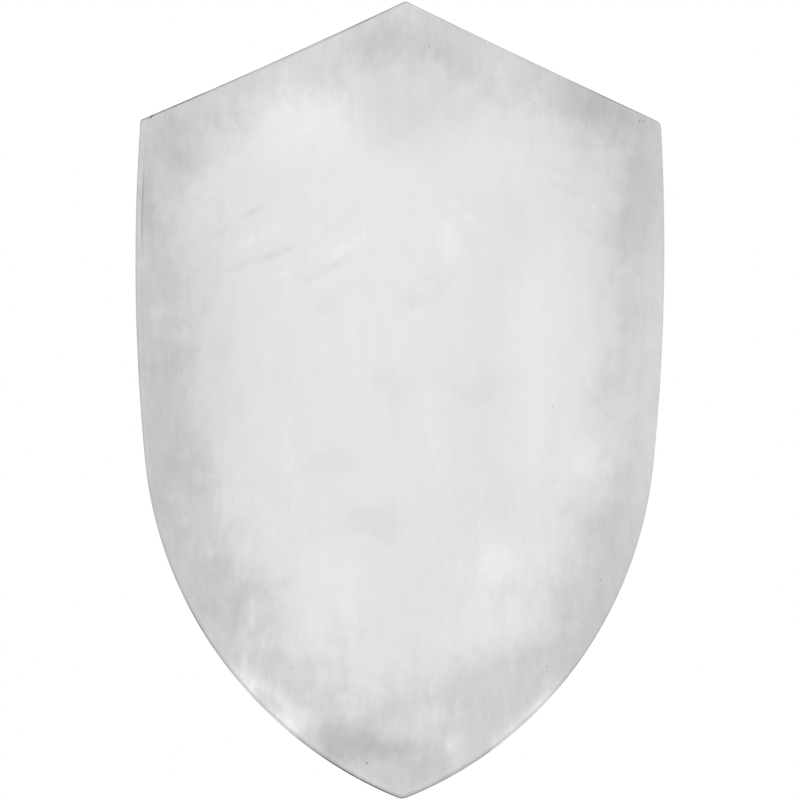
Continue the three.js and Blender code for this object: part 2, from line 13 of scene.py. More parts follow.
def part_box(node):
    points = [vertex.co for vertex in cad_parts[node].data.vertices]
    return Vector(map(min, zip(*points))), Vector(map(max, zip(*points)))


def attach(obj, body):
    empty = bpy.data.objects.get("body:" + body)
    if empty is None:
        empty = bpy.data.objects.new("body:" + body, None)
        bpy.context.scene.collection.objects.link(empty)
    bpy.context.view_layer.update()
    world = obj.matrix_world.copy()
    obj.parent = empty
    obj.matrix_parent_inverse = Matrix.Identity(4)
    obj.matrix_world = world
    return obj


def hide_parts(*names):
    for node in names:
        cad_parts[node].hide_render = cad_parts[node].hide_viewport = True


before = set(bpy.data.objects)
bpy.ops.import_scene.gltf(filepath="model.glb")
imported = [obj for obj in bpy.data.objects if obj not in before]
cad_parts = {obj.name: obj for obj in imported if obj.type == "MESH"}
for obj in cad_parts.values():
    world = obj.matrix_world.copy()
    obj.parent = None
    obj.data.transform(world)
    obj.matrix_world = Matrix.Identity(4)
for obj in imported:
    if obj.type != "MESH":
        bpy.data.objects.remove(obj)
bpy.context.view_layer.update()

bl_info = {
    "name": "Four point shield",
    "version": (1, 0, 0),
    "blender": (4, 5, 0),
    "location": "View3D > Sidebar > Shield",
    "description": "Finishes the packed shield in brushed steel, harness leather and wire fittings",
    "category": "Add Mesh",
}

MM = 0.001
QUARTER = math.pi / 2


def linear(colour):
    """An sRGB hex colour as linear red, green, blue and alpha."""
    shares = [int(colour[i : i + 2], 16) / 255 for i in (1, 3, 5)]
    return (*[s / 12.92 if s <= 0.04045 else ((s + 0.055) / 1.055) ** 2.4 for s in shares], 1.0)


def length(name, millimetres, description):
    """A size that a user may change, shown in the scene's units."""
    return FloatProperty(
        name=name, description=description, default=millimetres * MM, min=-1, unit="LENGTH", precision=4
    )


def angle(name, degrees, description):
    return FloatProperty(name=name, description=description, default=math.radians(degrees), unit="ROTATION")


def power(name, watts, description):
    return FloatProperty(name=name, description=description, default=watts, min=0, unit="POWER")


def colour(name, value, description):
    return FloatVectorProperty(
        name=name, description=description, default=linear(value), size=4, min=0, max=1, subtype="COLOR"
    )


# Settings


class PlateSettings(bpy.types.PropertyGroup):
    """The steel sheet, as it is cut, bent and rolled at its edge"""

    height: length("Height", 763.5, "From the top point to the foot, before the points are rounded")
    half_width: length("Half width", 255, "Half of the widest width")
    widest_height: length("Widest height", 521, "Height of the widest place above the foot")
    shoulder_drop: length("Shoulder drop", 114.5, "How far the shoulders lie below the top point")
    upper_radius: length("Upper side radius", 2005, "Radius of the nearly straight upper side")
    lower_radius: length("Lower side radius", 388, "Radius of the side that sweeps in to the foot")
    top_hollow: length("Top edge hollow", 1.2, "How far a top edge dips below a straight line")
    top_point: length("Top point radius", 5, "Rounding of the top point")
    right_shoulder: length("Right shoulder radius", 8, "Rounding of the right shoulder")
    left_shoulder: length("Left shoulder radius", 3, "Rounding of the left shoulder")
    foot: length("Foot radius", 12, "Rounding of the foot")
    sheet: length("Sheet thickness", 1.5, "Thickness of the 16 gauge sheet")
    bend: length("Bend radius", 560, "Radius of the face about an upright axis")
    roll: length("Roll diameter", 7, "Outside diameter of the rolled edge")
    roll_sweep: angle("Roll sweep", 292, "How far round the edge is rolled")
    wave: length("Wave", 0.5, "How far the hand-worked face wanders behind a true curve")
    steel: colour("Steel", "#d8d8d8", "The ground and polished face")
    back: colour("Back", "#adadac", "The back, as the sheet came from the mill")


class ForearmSettings(bpy.types.PropertyGroup):
    """The buckled strap that holds the forearm"""

    width: length("Width", 38, "Width of the strap")
    across: length("Across", 105, "From the shield's middle")
    height: length("Height", 410, "Height of the strap's middle above the foot")
    span: length("Span", 172, "Between its two loops")
    arch: length("Arch", 95, "From the plate to the middle of the leather")
    bend: length("Bend", 32, "Radius of the arch's two shoulders")
    lean: angle("Lean", 6, "Inward lean of the arch's legs")
    rivet_place: length("Rivet place", 23, "From a loop to its rivets, along the strap")
    rivet_spread: length("Rivet spread", 20, "Between a pair of rivets")


class GripSettings(bpy.types.PropertyGroup):
    """The strap that the hand closes on"""

    width: length("Width", 30, "Width of the strap")
    across: length("Across", -125, "From the shield's middle")
    height: length("Height", 410, "Height of the strap's middle above the foot")
    span: length("Span", 128, "Between its two loops")
    arch: length("Arch", 55, "From the plate to the middle of the leather")
    bend: length("Bend", 22, "Radius of the arch's two shoulders")
    lean: angle("Lean", 12, "Inward lean of the arch's legs")
    rivet_place: length("Rivet place", 18.5, "From a loop to its rivets, along the strap")
    rivet_spread: length("Rivet spread", 15, "Between a pair of rivets")
    liner: length("Lining thickness", 3, "Thickness of the lining under the strap")
    liner_start: length("Lining start", 12, "From a loop to the lining, along the strap")
    stitch: length("Stitch pitch", 5, "From one stitch to the next")


class LeatherSettings(bpy.types.PropertyGroup):
    """The hide that the straps are cut from"""

    thickness: length("Thickness", 3.5, "Thickness of the strap leather")
    edge: length("Edge rounding", 0.9, "Rounding of the burnished edges")
    crease_place: length("Crease place", 3.2, "From a strap's edge to the line creased along it")
    crease_depth: length("Crease depth", 0.35, "Depth of that line")
    keeper_width: length("Keeper width", 10, "Width of the keeper")
    keeper_thickness: length("Keeper thickness", 2.5, "Thickness of the keeper")
    strap: colour("Strap", "#53301b", "Dyed and oiled strap leather")
    liner: colour("Lining", "#8b6a48", "The soft lining leather")
    thread: colour("Thread", "#cbb68c", "The waxed linen thread")


class FittingSettings(bpy.types.PropertyGroup):
    """The loops, the buckle and the rivets"""

    loop_wire: length("Loop bar", 6, "Diameter of the loops' bar")
    loop_height: length("Loop height", 10, "From the plate to the middle of the bar")
    loop_corner: length("Loop corner", 5, "Radius of a loop's two corners")
    weld_radius: length("Weld radius", 5.5, "Radius of a weld round a loop's foot")
    weld_height: length("Weld height", 3, "Height of that weld")
    buckle_wire: length("Buckle wire", 5, "Diameter of the buckle's wire")
    buckle_length: length("Buckle length", 28, "From the heel bar to the front bar")
    buckle_corner: length("Buckle corner", 5, "Radius of the buckle's corners")
    heel_place: length("Heel place", -4, "Height of the heel bar above the strap's middle")
    heel_rivet: length("Heel rivet", 15, "From the heel bar to the first rivet")
    prong_width: length("Prong width", 3.6, "Width of the prong")
    prong_thickness: length("Prong thickness", 2.6, "Thickness of the prong")
    shank: length("Rivet shank", 3, "Diameter of a rivet's shank")
    head: length("Rivet head", 9, "Diameter of a rivet's head")
    head_height: length("Head height", 1.8, "Height of a rivet's head")
    loop_steel: colour("Loop steel", "#8f9092", "Wire-brushed bar")
    buckle_steel: colour("Buckle steel", "#b5b3ad", "Tumbled wire")
    rivet_steel: colour("Rivet steel", "#a9a8a4", "Hammered rivets")


class StageSettings(bpy.types.PropertyGroup):
    """The camera and the light"""

    azimuth: angle("Azimuth", -4, "How far to the left of the shield's front the camera stands")
    roll: angle("Roll", 0.25, "How far the shield leans clockwise in the picture")
    aim: length("Aim", 0.8, "How far to the right of the shield's middle the camera looks")
    distance: length("Distance", 30000, "From the camera to the shield")
    view_width: length("View width", 766, "Width that the picture takes in at the shield")
    floor_drop: length("Floor drop", 150, "From the shield's foot down to the floor")
    floor_radius: length("Floor radius", 2800, "The floor ends just out of the picture")
    front: power("Front lamp", 7, "The wide lamp in front")
    top: power("Top lamp", 9, "The lamp overhead")
    back: power("Back lamp", 8, "The lamp behind")
    ambient: FloatProperty(name="Ambient", description="Strength of the even light", default=0.8, min=0)


class ShieldSettings(bpy.types.PropertyGroup):
    """Everything about the shield that a user would change"""

    plate: PointerProperty(type=PlateSettings, name="Plate")
    forearm: PointerProperty(type=ForearmSettings, name="Forearm strap")
    grip: PointerProperty(type=GripSettings, name="Hand grip")
    leather: PointerProperty(type=LeatherSettings, name="Leather")
    fittings: PointerProperty(type=FittingSettings, name="Fittings")
    stage: PointerProperty(type=StageSettings, name="Stage")


SETTINGS = (
    PlateSettings, ForearmSettings, GripSettings, LeatherSettings, FittingSettings, StageSettings,
    ShieldSettings,
)

# Clearances between pieces
SEAT_GAP = 0.3 * MM
SIDE_GAP = 1 * MM  # beside the strap in its buckle, and beside the prong in its slot
LOOP_SIDE_GAP = 2.5 * MM
KEEPER_GAP = 0.4 * MM
KEEPER_PLAY = 2 * MM  # how far the keeper slides each way

# A strap's folded end leaves its bar on a slant and then lies flat against the strap.
FOLD_ANGLE = math.radians(40)
FOLD_BEND = 6 * MM
FOLD_MARGIN = 3.5 * MM  # leather past the last rivet's head
SKIVED_END = 0.45  # the share of its thickness that a thinned end keeps
SKIVED_RUN = 9 * MM
CREASE_HALF = 0.5 * MM  # half the width of a creased line

# The tail climbs over the buckle's front bar on a slope, and then follows the arch to its point.
TAIL_SLOPE = math.radians(20)
TAIL_CURVE = 15 * MM
TAIL_BEND = math.radians(24)
TAIL_END = 30 * MM
TAIL_POINT = 19 * MM
POINT_BLUNTING = 0.02 * MM
HOLE_PITCH = 20 * MM
PUNCHED_HOLE = 5 * MM
PRONG_HOLE = 5.4 * MM  # the width of the oblong hole that the prong stands in
PUNCH_ROOM = 5 * MM

# The keeper, a ring of leather that holds the tail down
KEEPER_EDGE, KEEPER_CREASE, KEEPER_CREASE_DEPTH = 0.7 * MM, 2 * MM, 0.25 * MM
KEEPER_CORNER = 0.75  # the radius of its corners as a share of its thickness

# The prong, whose heading is measured from straight up, as it leaves the heel bar
PRONG_CURL = math.radians(265)
PRONG_HEADING = math.radians(120)
PRONG_RISE = 11.5 * MM
PRONG_ARCH = 8 * MM
PRONG_OVERHANG = 4 * MM
PRONG_PLAY = math.radians(10)
PRONG_EDGE = 0.7 * MM
PRONG_TIP = 5 * MM
TIP_WIDTH, TIP_THICKNESS = 0.55, 0.6  # the shares of both that are left at the very tip

# Rivets, and the burrs that they are closed over
BURR_RADIUS = 4 * MM
BURR_THICKNESS = 1 * MM
BURR_BEVEL = 0.2 * MM
HEAD_RIM = 0.6 * MM
HEAD_BEVEL = 0.15 * MM
PEENED_RADIUS = 2.2 * MM
PEENED_HEIGHT = 0.9 * MM
PEENED_RIM = 0.25  # the share of that height that its rim takes
HAMMER_FLATS = 1.7  # larger draws more and smaller flats round a rivet
FLAT_DEPTH = 0.02  # as a share of the radius
FLAT_DRIFT = 0.4  # how much the flats change from one ring to the next
SEED_STEP = 3.1  # keeps the flats of two rivets from being alike

# Stitching
THREAD = 0.8 * MM
STITCH_START, STITCH_END = 0.14, 0.86  # where a stitch shows within its pitch
STITCH_BOW = 0.5 * MM
STITCH_SUNK = 0.7  # the share of that bow by which a stitch's ends lie in the leather

# Welds
WELD_SPREAD, WELD_RISE = 0.75, 1.35  # powers that hollow the weld's side
WELD_RIPPLES = 13
RIPPLE_HEIGHT = 0.22 * MM
RIPPLE_ROOM = 0.2 * MM
RIPPLE_SLANT = 0.8  # how many ripples one leans by, from the weld's foot to its top

# The plate's edge and its hand-worked face
CORNER_ROOM = 17 * MM  # the outline has no points this near to a corner, so that its mitres don't cross
EDGE_LINES = (12, 11, 10, 9.2, 8.6, 8, 7.4, 6.8, 6.2, 5.4, 4.6, 3.9)  # mm in from the edge
DIP_PLACE, DIP_REACH = 7.4, 2  # mm in from the edge, and mm to either side
DIP_DEPTH = 0.04 * MM
HALF_FACE = 240 * MM  # about how far in from the edge the middle lies, past those lines
STIFF_EDGE = 8 * MM  # the rolled edge keeps the sheet true this far in
LOOSENING = 60 * MM  # the waves grow to their full depth over this
LONG_WAVE, SHORT_WAVE = 190 * MM, 80 * MM
SHORT_WAVE_SHARE = 0.5
SHORT_WAVE_SHIFT = Vector((7, 3, 1))  # keeps the short waves from following the long ones
WAVE_SWING = 0.33  # to either side of half the depth, so that the face never comes forward

# How finely the curves are drawn
TURN_STEP = math.radians(6)
STRAP_STEP, TAIL_STEP, PRONG_STEP, STITCH_STEP = 2 * MM, 1 * MM, 0.8 * MM, 0.25 * MM
TOP_STEPS, UPPER_STEPS, LOWER_STEPS, CORNER_STEPS = 30, 36, 96, 10
FACE_RINGS, ROLL_STEPS, EDGE_STEPS = 60, 26, 4
WELD_STEPS, BOW_STEPS, DOME_STEPS, PEENED_STEPS = 8, 6, 9, 6
ROD_SIDES, THREAD_SIDES, PUNCH_SIDES, LATHE_SIDES, WELD_SIDES = 24, 8, 24, 36, 96
SAME_SPOT = 1e-7
LEAST_SHARE = 0.93  # a finer piece that has to shrink more than this is in the wrong place

# Patterns
THROUGH = 1000  # mm, for a pattern of the sheet's face that doesn't change through it
ANY_DEPTH = 10  # m, for a mark on the face that shows at any depth
MOST = (0.3, 0.7)  # most of a noise's values lie between these
OVAL_END = 1.25  # a mark has faded out at this share of its size
BAND_GAP = math.tau / 10  # between the wave texture's diagonal bands, along an axis at a scale of 1


# Routes: a strap or a bent wire drawn in one plane, with its points as complex numbers


class Route:
    """Straight runs and turns, drawn one after the other."""

    def __init__(self, start, heading):
        self.points = [start]
        self.heading = heading

    @property
    def end(self):
        return self.points[-1]

    def ahead(self, distance):
        self.points.append(self.end + cmath.rect(distance, self.heading))
        return self

    def turn(self, sweep, radius):
        """A turn to the left is positive."""
        start = self.end
        centre = start + cmath.rect(math.copysign(radius, sweep), self.heading + QUARTER)
        steps = math.ceil(abs(sweep) / TURN_STEP)
        turns = [cmath.rect(1, sweep * i / steps) for i in range(1, steps + 1)]
        self.points += [centre + (start - centre) * turn for turn in turns]
        self.heading += sweep
        return self

    def turn_round(self):
        self.points.reverse()
        self.heading += math.pi
        return self

    def mirrored(self):
        self.points = [complex(-point.real, point.imag) for point in self.points]
        return self

    def finely(self, spacing):
        """The points with every long run split up."""
        fine = [self.points[0]]
        for start, end in zip(self.points, self.points[1:]):
            steps = max(1, math.ceil(abs(end - start) / spacing))
            fine += [start + (end - start) * i / steps for i in range(1, steps + 1)]
        return fine


def oblong_route(half, low, high, corner):
    """The points of a closed oblong with rounded corners."""
    route = Route(complex(corner - half, low), 0)
    for side in (half * 2, high - low, half * 2, high - low):
        route.ahead(side - corner * 2).turn(QUARTER, corner)
    return route.points[:-1]


def left_sides(points, closed=False):
    """At each point, how far its left side moves for each unit of distance from the route."""
    runs = [after - point for point, after in zip(points, points[1:] + points[:1])]
    runs = [run / abs(run) for run in runs]
    if not closed:
        runs[-1] = runs[-2]
    sides = []
    for i, run in enumerate(runs):
        before = runs[i - 1] if closed or i else run
        sides.append(1j * (before + run) / (1 + (before.conjugate() * run).real))
    return sides


def slab(width, thickness, edge, crease_place=0.0, crease_depth=0.0):
    """A rounded oblong section as (across, out) points, with a line creased along both faces."""
    half, face = width / 2, thickness / 2
    turns = [QUARTER * i / EDGE_STEPS for i in range(EDGE_STEPS + 1)]
    corner = [(half - edge + edge * math.sin(t), face - edge + edge * math.cos(t)) for t in turns]
    line = half - crease_place
    groove = [(line - CREASE_HALF, face), (line, face - crease_depth), (line + CREASE_HALF, face)]
    outer = [(0, face), *(groove if crease_depth else []), *corner]
    right = outer + [(x, -y) for x, y in reversed(outer)]
    return right + [(-x, y) for x, y in reversed(right) if x > 0]


def rod(diameter, sides=ROD_SIDES):
    """A round section as (across, out) points."""
    turns = [math.tau * (i + 0.5) / sides for i in range(sides)]
    return [(math.sin(t) * diameter / 2, math.cos(t) * diameter / 2) for t in turns]


# Meshes

# A side view is drawn upwards along x and off the plate along y. On the plate's back that is
# +Z and +Y, with the strap's width along X.
FROM_SIDE_VIEW = Matrix(((0, 0, 1, 0), (0, 1, 0, 0), (1, 0, 0, 0), (0, 0, 0, 1)))


def skin(mesh, rings, slot=0):
    """Faces from each ring of points to the next."""
    faces = []
    for one, two in zip(rings, rings[1:]):
        for k in range(len(one)):
            n = (k + 1) % len(one)
            faces.append(mesh.faces.new((one[k], one[n], two[n], two[k])))
            faces[-1].material_index = slot
    return faces


def sweep(points, section, matrix=FROM_SIDE_VIEW, closed=False, shape=None, mesh=None):
    """Draws a section along a route. shape gives the share of its width and thickness that is
    left at a distance from the start and from the end. The UV map holds real distances."""
    if mesh is None:
        mesh = bmesh.new()
    uv = mesh.loops.layers.uv.verify()
    along = [0.0]
    for start, end in zip(points, points[1:]):
        along.append(along[-1] + abs(end - start))
    rings = []
    for point, side, place in zip(points, left_sides(points, closed), along):
        wide, thick = shape(place, along[-1] - place) if shape else (1, 1)
        spots = [(point + side * out * thick, across * wide) for across, out in section]
        rings.append([mesh.verts.new(matrix @ Vector((p.real, p.imag, z))) for p, z in spots])
    if closed:
        rings.append(rings[0])
        along.append(along[-1])
    for f, face in enumerate(skin(mesh, rings)):
        i, k = divmod(f, len(section))
        n = (k + 1) % len(section)
        for loop, j, place in zip(face.loops, (k, n, n, k), (i, i, i + 1, i + 1)):
            loop[uv].uv = (section[j][0], along[place])
    if not closed:
        mesh.faces.new(rings[0])
        mesh.faces.new(rings[-1])
    return mesh


def lathe(profile, flats=0.0, seed=0.0):
    """Turns (radius, height) points about +Y, with the small flats of hand work."""
    mesh = bmesh.new()
    turns = [math.tau * i / LATHE_SIDES for i in range(LATHE_SIDES)]
    rings = []
    for k, (radius, height) in enumerate(profile):
        ring = []
        for turn in turns:
            spot = Vector((math.cos(turn), seed + k * FLAT_DRIFT, math.sin(turn)))
            wide = radius * (1 + flats * noise.noise(spot * HAMMER_FLATS))
            ring.append(mesh.verts.new((wide * spot.x, height, wide * spot.z)))
        rings.append(ring)
    skin(mesh, rings)
    return mesh


def mesh_data(name, mesh):
    """Ends the making of a bmesh, with its faces pointing out."""
    bmesh.ops.remove_doubles(mesh, verts=mesh.verts, dist=SAME_SPOT)
    bmesh.ops.recalc_face_normals(mesh, faces=mesh.faces)
    data = bpy.data.meshes.new(name)
    mesh.to_mesh(data)
    return data


def add_object(name, data):
    """A new object in the scene."""
    thing = bpy.data.objects.new(name, data)
    bpy.context.scene.collection.objects.link(thing)
    return thing


def keep_within(data, low, high):
    """Draws a mesh in by the little that its finer curves stand outside a box."""
    spots = [vert.co for vert in data.vertices]
    for axis in range(3):
        first, last = min(spot[axis] for spot in spots), max(spot[axis] for spot in spots)
        start, end = max(first, low[axis]), min(last, high[axis])
        share = (end - start) / (last - first)
        if share < LEAST_SHARE:
            raise RuntimeError(f"{data.name} stands {last - first - end + start:.5f} m outside its box")
        for spot in spots:
            spot[axis] = start + (spot[axis] - first) * share


def make_piece(node, mesh, matrix, materials, body="shield", sharp=40, name=""):
    """A finished piece that rides on a body and stands in for a CAD node, if it has one."""
    name = name or f"finished_{node}"
    data = mesh_data(name, mesh)
    mesh.free()
    data.transform(matrix)
    if node:
        keep_within(data, *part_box(node))
    data.shade_smooth()
    data.set_sharp_from_angle(angle=math.radians(sharp))
    for material in materials:
        data.materials.append(material)
    piece = add_object(name, data)
    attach(piece, body)
    if node:
        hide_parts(node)


def punch(mesh, cutters):
    """Cuts slots and holes through a bmesh. Each cutter is (its place, length, width, depth)."""
    tool = bmesh.new()
    turns = [math.tau * (i + 0.5) / PUNCH_SIDES for i in range(PUNCH_SIDES)]
    for place, distance, width, depth in cutters:
        straight = max(distance - width, 0) / 2
        rises = [straight if turn < math.pi else -straight for turn in turns]
        outline = [(math.cos(t) * width / 2, rise + math.sin(t) * width / 2) for t, rise in zip(turns, rises)]
        spots = [[place @ Vector((x, y, z)) for x, z in outline] for y in (-depth / 2, depth / 2)]
        ends = [[tool.verts.new(spot) for spot in end] for end in spots]
        for end in ends:
            tool.faces.new(end)
        skin(tool, ends)
    leather, cutter = [add_object("punching", mesh_data("punching", part)) for part in (mesh, tool)]
    tool.free()
    modifier = leather.modifiers.new("Punched", "BOOLEAN")
    modifier.operation, modifier.solver, modifier.object = "DIFFERENCE", "EXACT", cutter
    bpy.context.view_layer.update()
    evaluated = leather.evaluated_get(bpy.context.evaluated_depsgraph_get())
    mesh.clear()
    mesh.from_mesh(evaluated.to_mesh())
    evaluated.to_mesh_clear()
    for data in (leather.data, cutter.data):
        bpy.data.meshes.remove(data)  # the object that shows it goes with it
    if not mesh.faces:
        raise RuntimeError("punching the holes left no leather")
    return mesh


# Places


def on_back(strap, plate):
    """A strap's own axes on the plate's back, with +Y straight off the plate."""
    reach = plate.bend - plate.sheet
    turn = math.asin(strap.across / reach)
    spot = Vector((strap.across, plate.bend - reach * math.cos(turn), strap.height))
    return Matrix.Translation(spot) @ Matrix.Rotation(turn, 4, "Z")


def shield_place(shield):
    """Moves the shield so that the middle of the grip's leather is the origin."""
    middle = on_back(shield.grip, shield.plate) @ Vector((0, shield.grip.arch, 0))
    return Matrix.Translation(-middle)


def strap_place(strap, shield):
    return shield_place(shield) @ on_back(strap, shield.plate)


def placing(point, facing=QUARTER, across=0.0):
    """Turns +Y to an angle of the side view and moves the origin to a point of it."""
    return Matrix.Translation((across, point.imag, point.real)) @ Matrix.Rotation(QUARTER - facing, 4, "X")


# The plate


def side_arcs(plate):
    """The two arcs of a side, as (centre, radius, first angle, last angle, steps)."""
    upper = complex(plate.half_width - plate.upper_radius, plate.widest_height)
    apart = plate.upper_radius - plate.lower_radius
    closing = plate.lower_radius**2 - apart**2 - abs(upper) ** 2
    meeting = math.atan2(-upper.imag, upper.real) + math.acos(closing / (2 * apart * abs(upper)))
    lower = upper + cmath.rect(apart, -meeting)
    shoulder = math.asin((plate.widest_height - plate.height + plate.shoulder_drop) / plate.upper_radius)
    foot = math.atan2(lower.imag, -lower.real)
    return (
        (upper, plate.upper_radius, shoulder, meeting, UPPER_STEPS),
        (lower, plate.lower_radius, meeting, foot, LOWER_STEPS),
    )


def sheet_outline(plate):
    """The flat sheet's outline, clockwise from the top point, as (point, corner radius)."""
    upper, lower = [
        [centre + cmath.rect(radius, -(first + (last - first) * i / steps)) for i in range(steps + 1)]
        for centre, radius, first, last, steps in side_arcs(plate)
    ]
    top = complex(0, plate.height)
    run = upper[0] - top
    control = (top + upper[0]) / 2 - 2j * run / abs(run) * plate.top_hollow
    shares = [i / TOP_STEPS for i in range(TOP_STEPS + 1)]
    edge = [top * (1 - s) ** 2 + control * 2 * s * (1 - s) + upper[0] * s**2 for s in shares]
    right = [*edge, *upper[1:], *lower[1:]]
    left = [complex(-point.real, point.imag) for point in reversed(right[1:-1])]
    points = [complex(plate.bend * math.asin(p.real / plate.bend), p.imag) for p in right + left]
    radii = {
        0: plate.top_point,
        TOP_STEPS: plate.right_shoulder,
        len(right) - 1: plate.foot,
        len(points) - TOP_STEPS: plate.left_shoulder,
    }
    corners = [points[i] for i in radii]
    return [
        (point, radii.get(i, 0))
        for i, point in enumerate(points)
        if i in radii or min(abs(point - corner) for corner in corners) > CORNER_ROOM
    ]


def drawn_in(outline, distance):
    """The outline drawn in by a distance. Inside its own radius a corner stays a mitre."""
    points = []
    for i, (point, radius) in enumerate(outline):
        before = point - outline[i - 1][0]
        after = outline[(i + 1) % len(outline)][0] - point
        before, after = before / abs(before), after / abs(after)
        mitre = -1j * (before + after) / (1 + (before.conjugate() * after).real)
        if not radius:
            points.append(point + mitre * distance)
            continue
        centre = point + mitre * max(radius, distance)
        bend = cmath.phase(after / before)
        turns = [cmath.phase(before) + QUARTER + bend * k / CORNER_STEPS for k in range(CORNER_STEPS + 1)]
        points += [centre + cmath.rect(max(radius - distance, 0), turn) for turn in turns]
    return points


def plate_mesh(plate):
    """The sheet with its rolled edge. Each point keeps its distance from the edge as `inset`."""
    outline = sheet_outline(plate)
    middle = complex(0, plate.widest_height)
    roll = plate.roll / 2
    mesh = bmesh.new()
    inset_layer = mesh.verts.layers.float.new("inset")

    def ring(points, inset, depth):
        """Points bent about the upright axis. Away from its stiff edge the face waves a little."""
        verts = []
        loose = min(1, max(0, inset - STIFF_EDGE) / LOOSENING)
        for point in points:
            spot = Vector((point.real, point.imag, 0))
            wave = noise.noise(spot / LONG_WAVE)
            wave += SHORT_WAVE_SHARE * noise.noise(spot / SHORT_WAVE + SHORT_WAVE_SHIFT)
            behind = depth + plate.wave * loose * (0.5 + WAVE_SWING * wave)
            turn, reach = point.real / plate.bend, plate.bend - behind
            spot = (reach * math.sin(turn), plate.bend - reach * math.cos(turn), point.imag)
            verts.append(mesh.verts.new(spot))
            verts[-1][inset_layer] = inset
        return verts

    def facing(depth):
        """Rings from near the middle out to the roll, with a faint dip where the roll begins."""
        band = EDGE_LINES[0] * MM
        near = drawn_in(outline, band)
        rings = []
        for i in range(1, FACE_RINGS):
            share = i / FACE_RINGS
            inset = band + (1 - share) * HALF_FACE
            rings.append(ring([middle + (p - middle) * share for p in near], inset, depth))
        for inset in EDGE_LINES:
            dip = DIP_DEPTH * max(0, 1 - abs(inset - DIP_PLACE) / DIP_REACH)
            rings.append(ring(drawn_in(outline, inset * MM), inset * MM, depth + dip))
        return rings

    def rolled(radius):
        """Rings round the roll, at a distance from the middle of its tube."""
        rings = []
        for i in range(ROLL_STEPS + 1):
            turn = plate.roll_sweep * i / ROLL_STEPS
            points = drawn_in(outline, roll - radius * math.sin(turn))
            rings.append(ring(points, roll - roll * math.sin(turn), roll - radius * math.cos(turn)))
        return rings

    front, back = facing(0), facing(plate.sheet)
    outside = [*front, *rolled(roll)]
    inside = [outside[-1], *reversed(rolled(roll - plate.sheet)), *reversed(back)]
    skin(mesh, outside)
    skin(mesh, inside, slot=1)
    for end, depth, slot in ((outside[0], 0, 0), (inside[-1], plate.sheet, 1)):
        centre = ring([middle], HALF_FACE, depth)[0]
        for one, two in zip(end, end[1:] + end[:1]):
            mesh.faces.new((one, two, centre)).material_index = slot
    return mesh


# Straps


def fold_offset(leather):
    """From the middle of a strap to the middle of the end folded against it."""
    return leather.thickness + SEAT_GAP


def wrap_of(diameter, leather):
    """From the middle of a bar to the middle of the leather round it."""
    return diameter / 2 + SEAT_GAP + leather.thickness / 2


def fold_back(route, side, wrap, last_rivet, shield):
    """Folds a strap round a bar on its left (1) or right (-1), and back past its last rivet."""
    level, rise = math.cos(FOLD_ANGLE), math.sin(FOLD_ANGLE)
    fall = wrap * (1 + level) - fold_offset(shield.leather) - FOLD_BEND * (1 - level)
    slant = fall / rise
    reach = (wrap + FOLD_BEND) * rise + slant * level
    place = last_rivet + shield.fittings.head / 2 + FOLD_MARGIN
    route.turn(side * (math.pi + FOLD_ANGLE), wrap).ahead(slant)
    route.turn(-side * FOLD_ANGLE, FOLD_BEND).ahead(place - reach)


class Leg:
    """One leg of a strap's arch, from its upper loop to the level run along the top."""

    def __init__(self, strap, shield):
        level, rise = math.sin(strap.lean), math.cos(strap.lean)
        self.wrap = wrap_of(shield.fittings.loop_wire, shield.leather)
        self.heading, self.bend_sweep = QUARTER + strap.lean, QUARTER - strap.lean
        bar = complex(strap.span / 2, shield.fittings.loop_height)
        self.foot = bar - self.wrap * complex(rise, level)
        self.length = (strap.arch - self.foot.imag - strap.bend * (1 - level)) / rise
        self.top_half = self.foot.real - self.length * level - strap.bend * rise


def route_from_loop(strap, shield):
    """From the end folded round a strap's upper loop to the level run of its arch."""
    leg = Leg(strap, shield)
    route = Route(leg.foot, leg.heading + math.pi)
    fold_back(route, 1, leg.wrap, strap.rivet_place, shield)
    route.turn_round()
    route.heading = leg.heading
    return route.ahead(leg.length).turn(leg.bend_sweep, strap.bend)


def skived(from_start, from_end=math.inf):
    """Thins the folded end of a strap to an edge, as a skiving knife does."""
    return 1, min(1, SKIVED_END + (1 - SKIVED_END) * min(from_start, from_end) / SKIVED_RUN)


def pointed(from_start, from_end):
    """The tail's rounded point, and the skived fold at its other end."""
    share = min(1, max(from_end, POINT_BLUNTING) / TAIL_POINT)
    # How far along the curve of the point, from 1 at its tip to 0 where the edges run straight
    bow = 2 - math.sqrt(1 + 3 * share)
    return 1 - bow**2, skived(from_start)[1]


def strap_mesh(route, strap, leather, spacing=STRAP_STEP, shape=skived):
    """A strap of full thickness, with a line creased along both of its edges."""
    section = slab(strap.width, leather.thickness, leather.edge, leather.crease_place, leather.crease_depth)
    return sweep(route.finely(spacing), section, shape=shape)


# A rivet lies in its strap's side view. Its head faces out, and outer and inner are how far the
# leather reaches from its point to either side.
Rivet = namedtuple("Rivet", "name point facing across outer inner")


def loop_rivets(strap, shield, name, inner):
    """A pair of rivets through each of a strap's folded ends."""
    leg = Leg(strap, shield)
    point = leg.foot + cmath.rect(strap.rivet_place, leg.heading)
    facing = leg.heading - QUARTER
    outer = fold_offset(shield.leather) + shield.leather.thickness / 2
    ends = (("upper", point, facing), ("lower", complex(-point.real, point.imag), math.pi - facing))
    return [
        Rivet(f"{name}_{end}_{word}", spot, turn, side * strap.rivet_spread / 2, outer, inner)
        for end, spot, turn in ends
        for side, word in ((-1, "left"), (1, "right"))
    ]


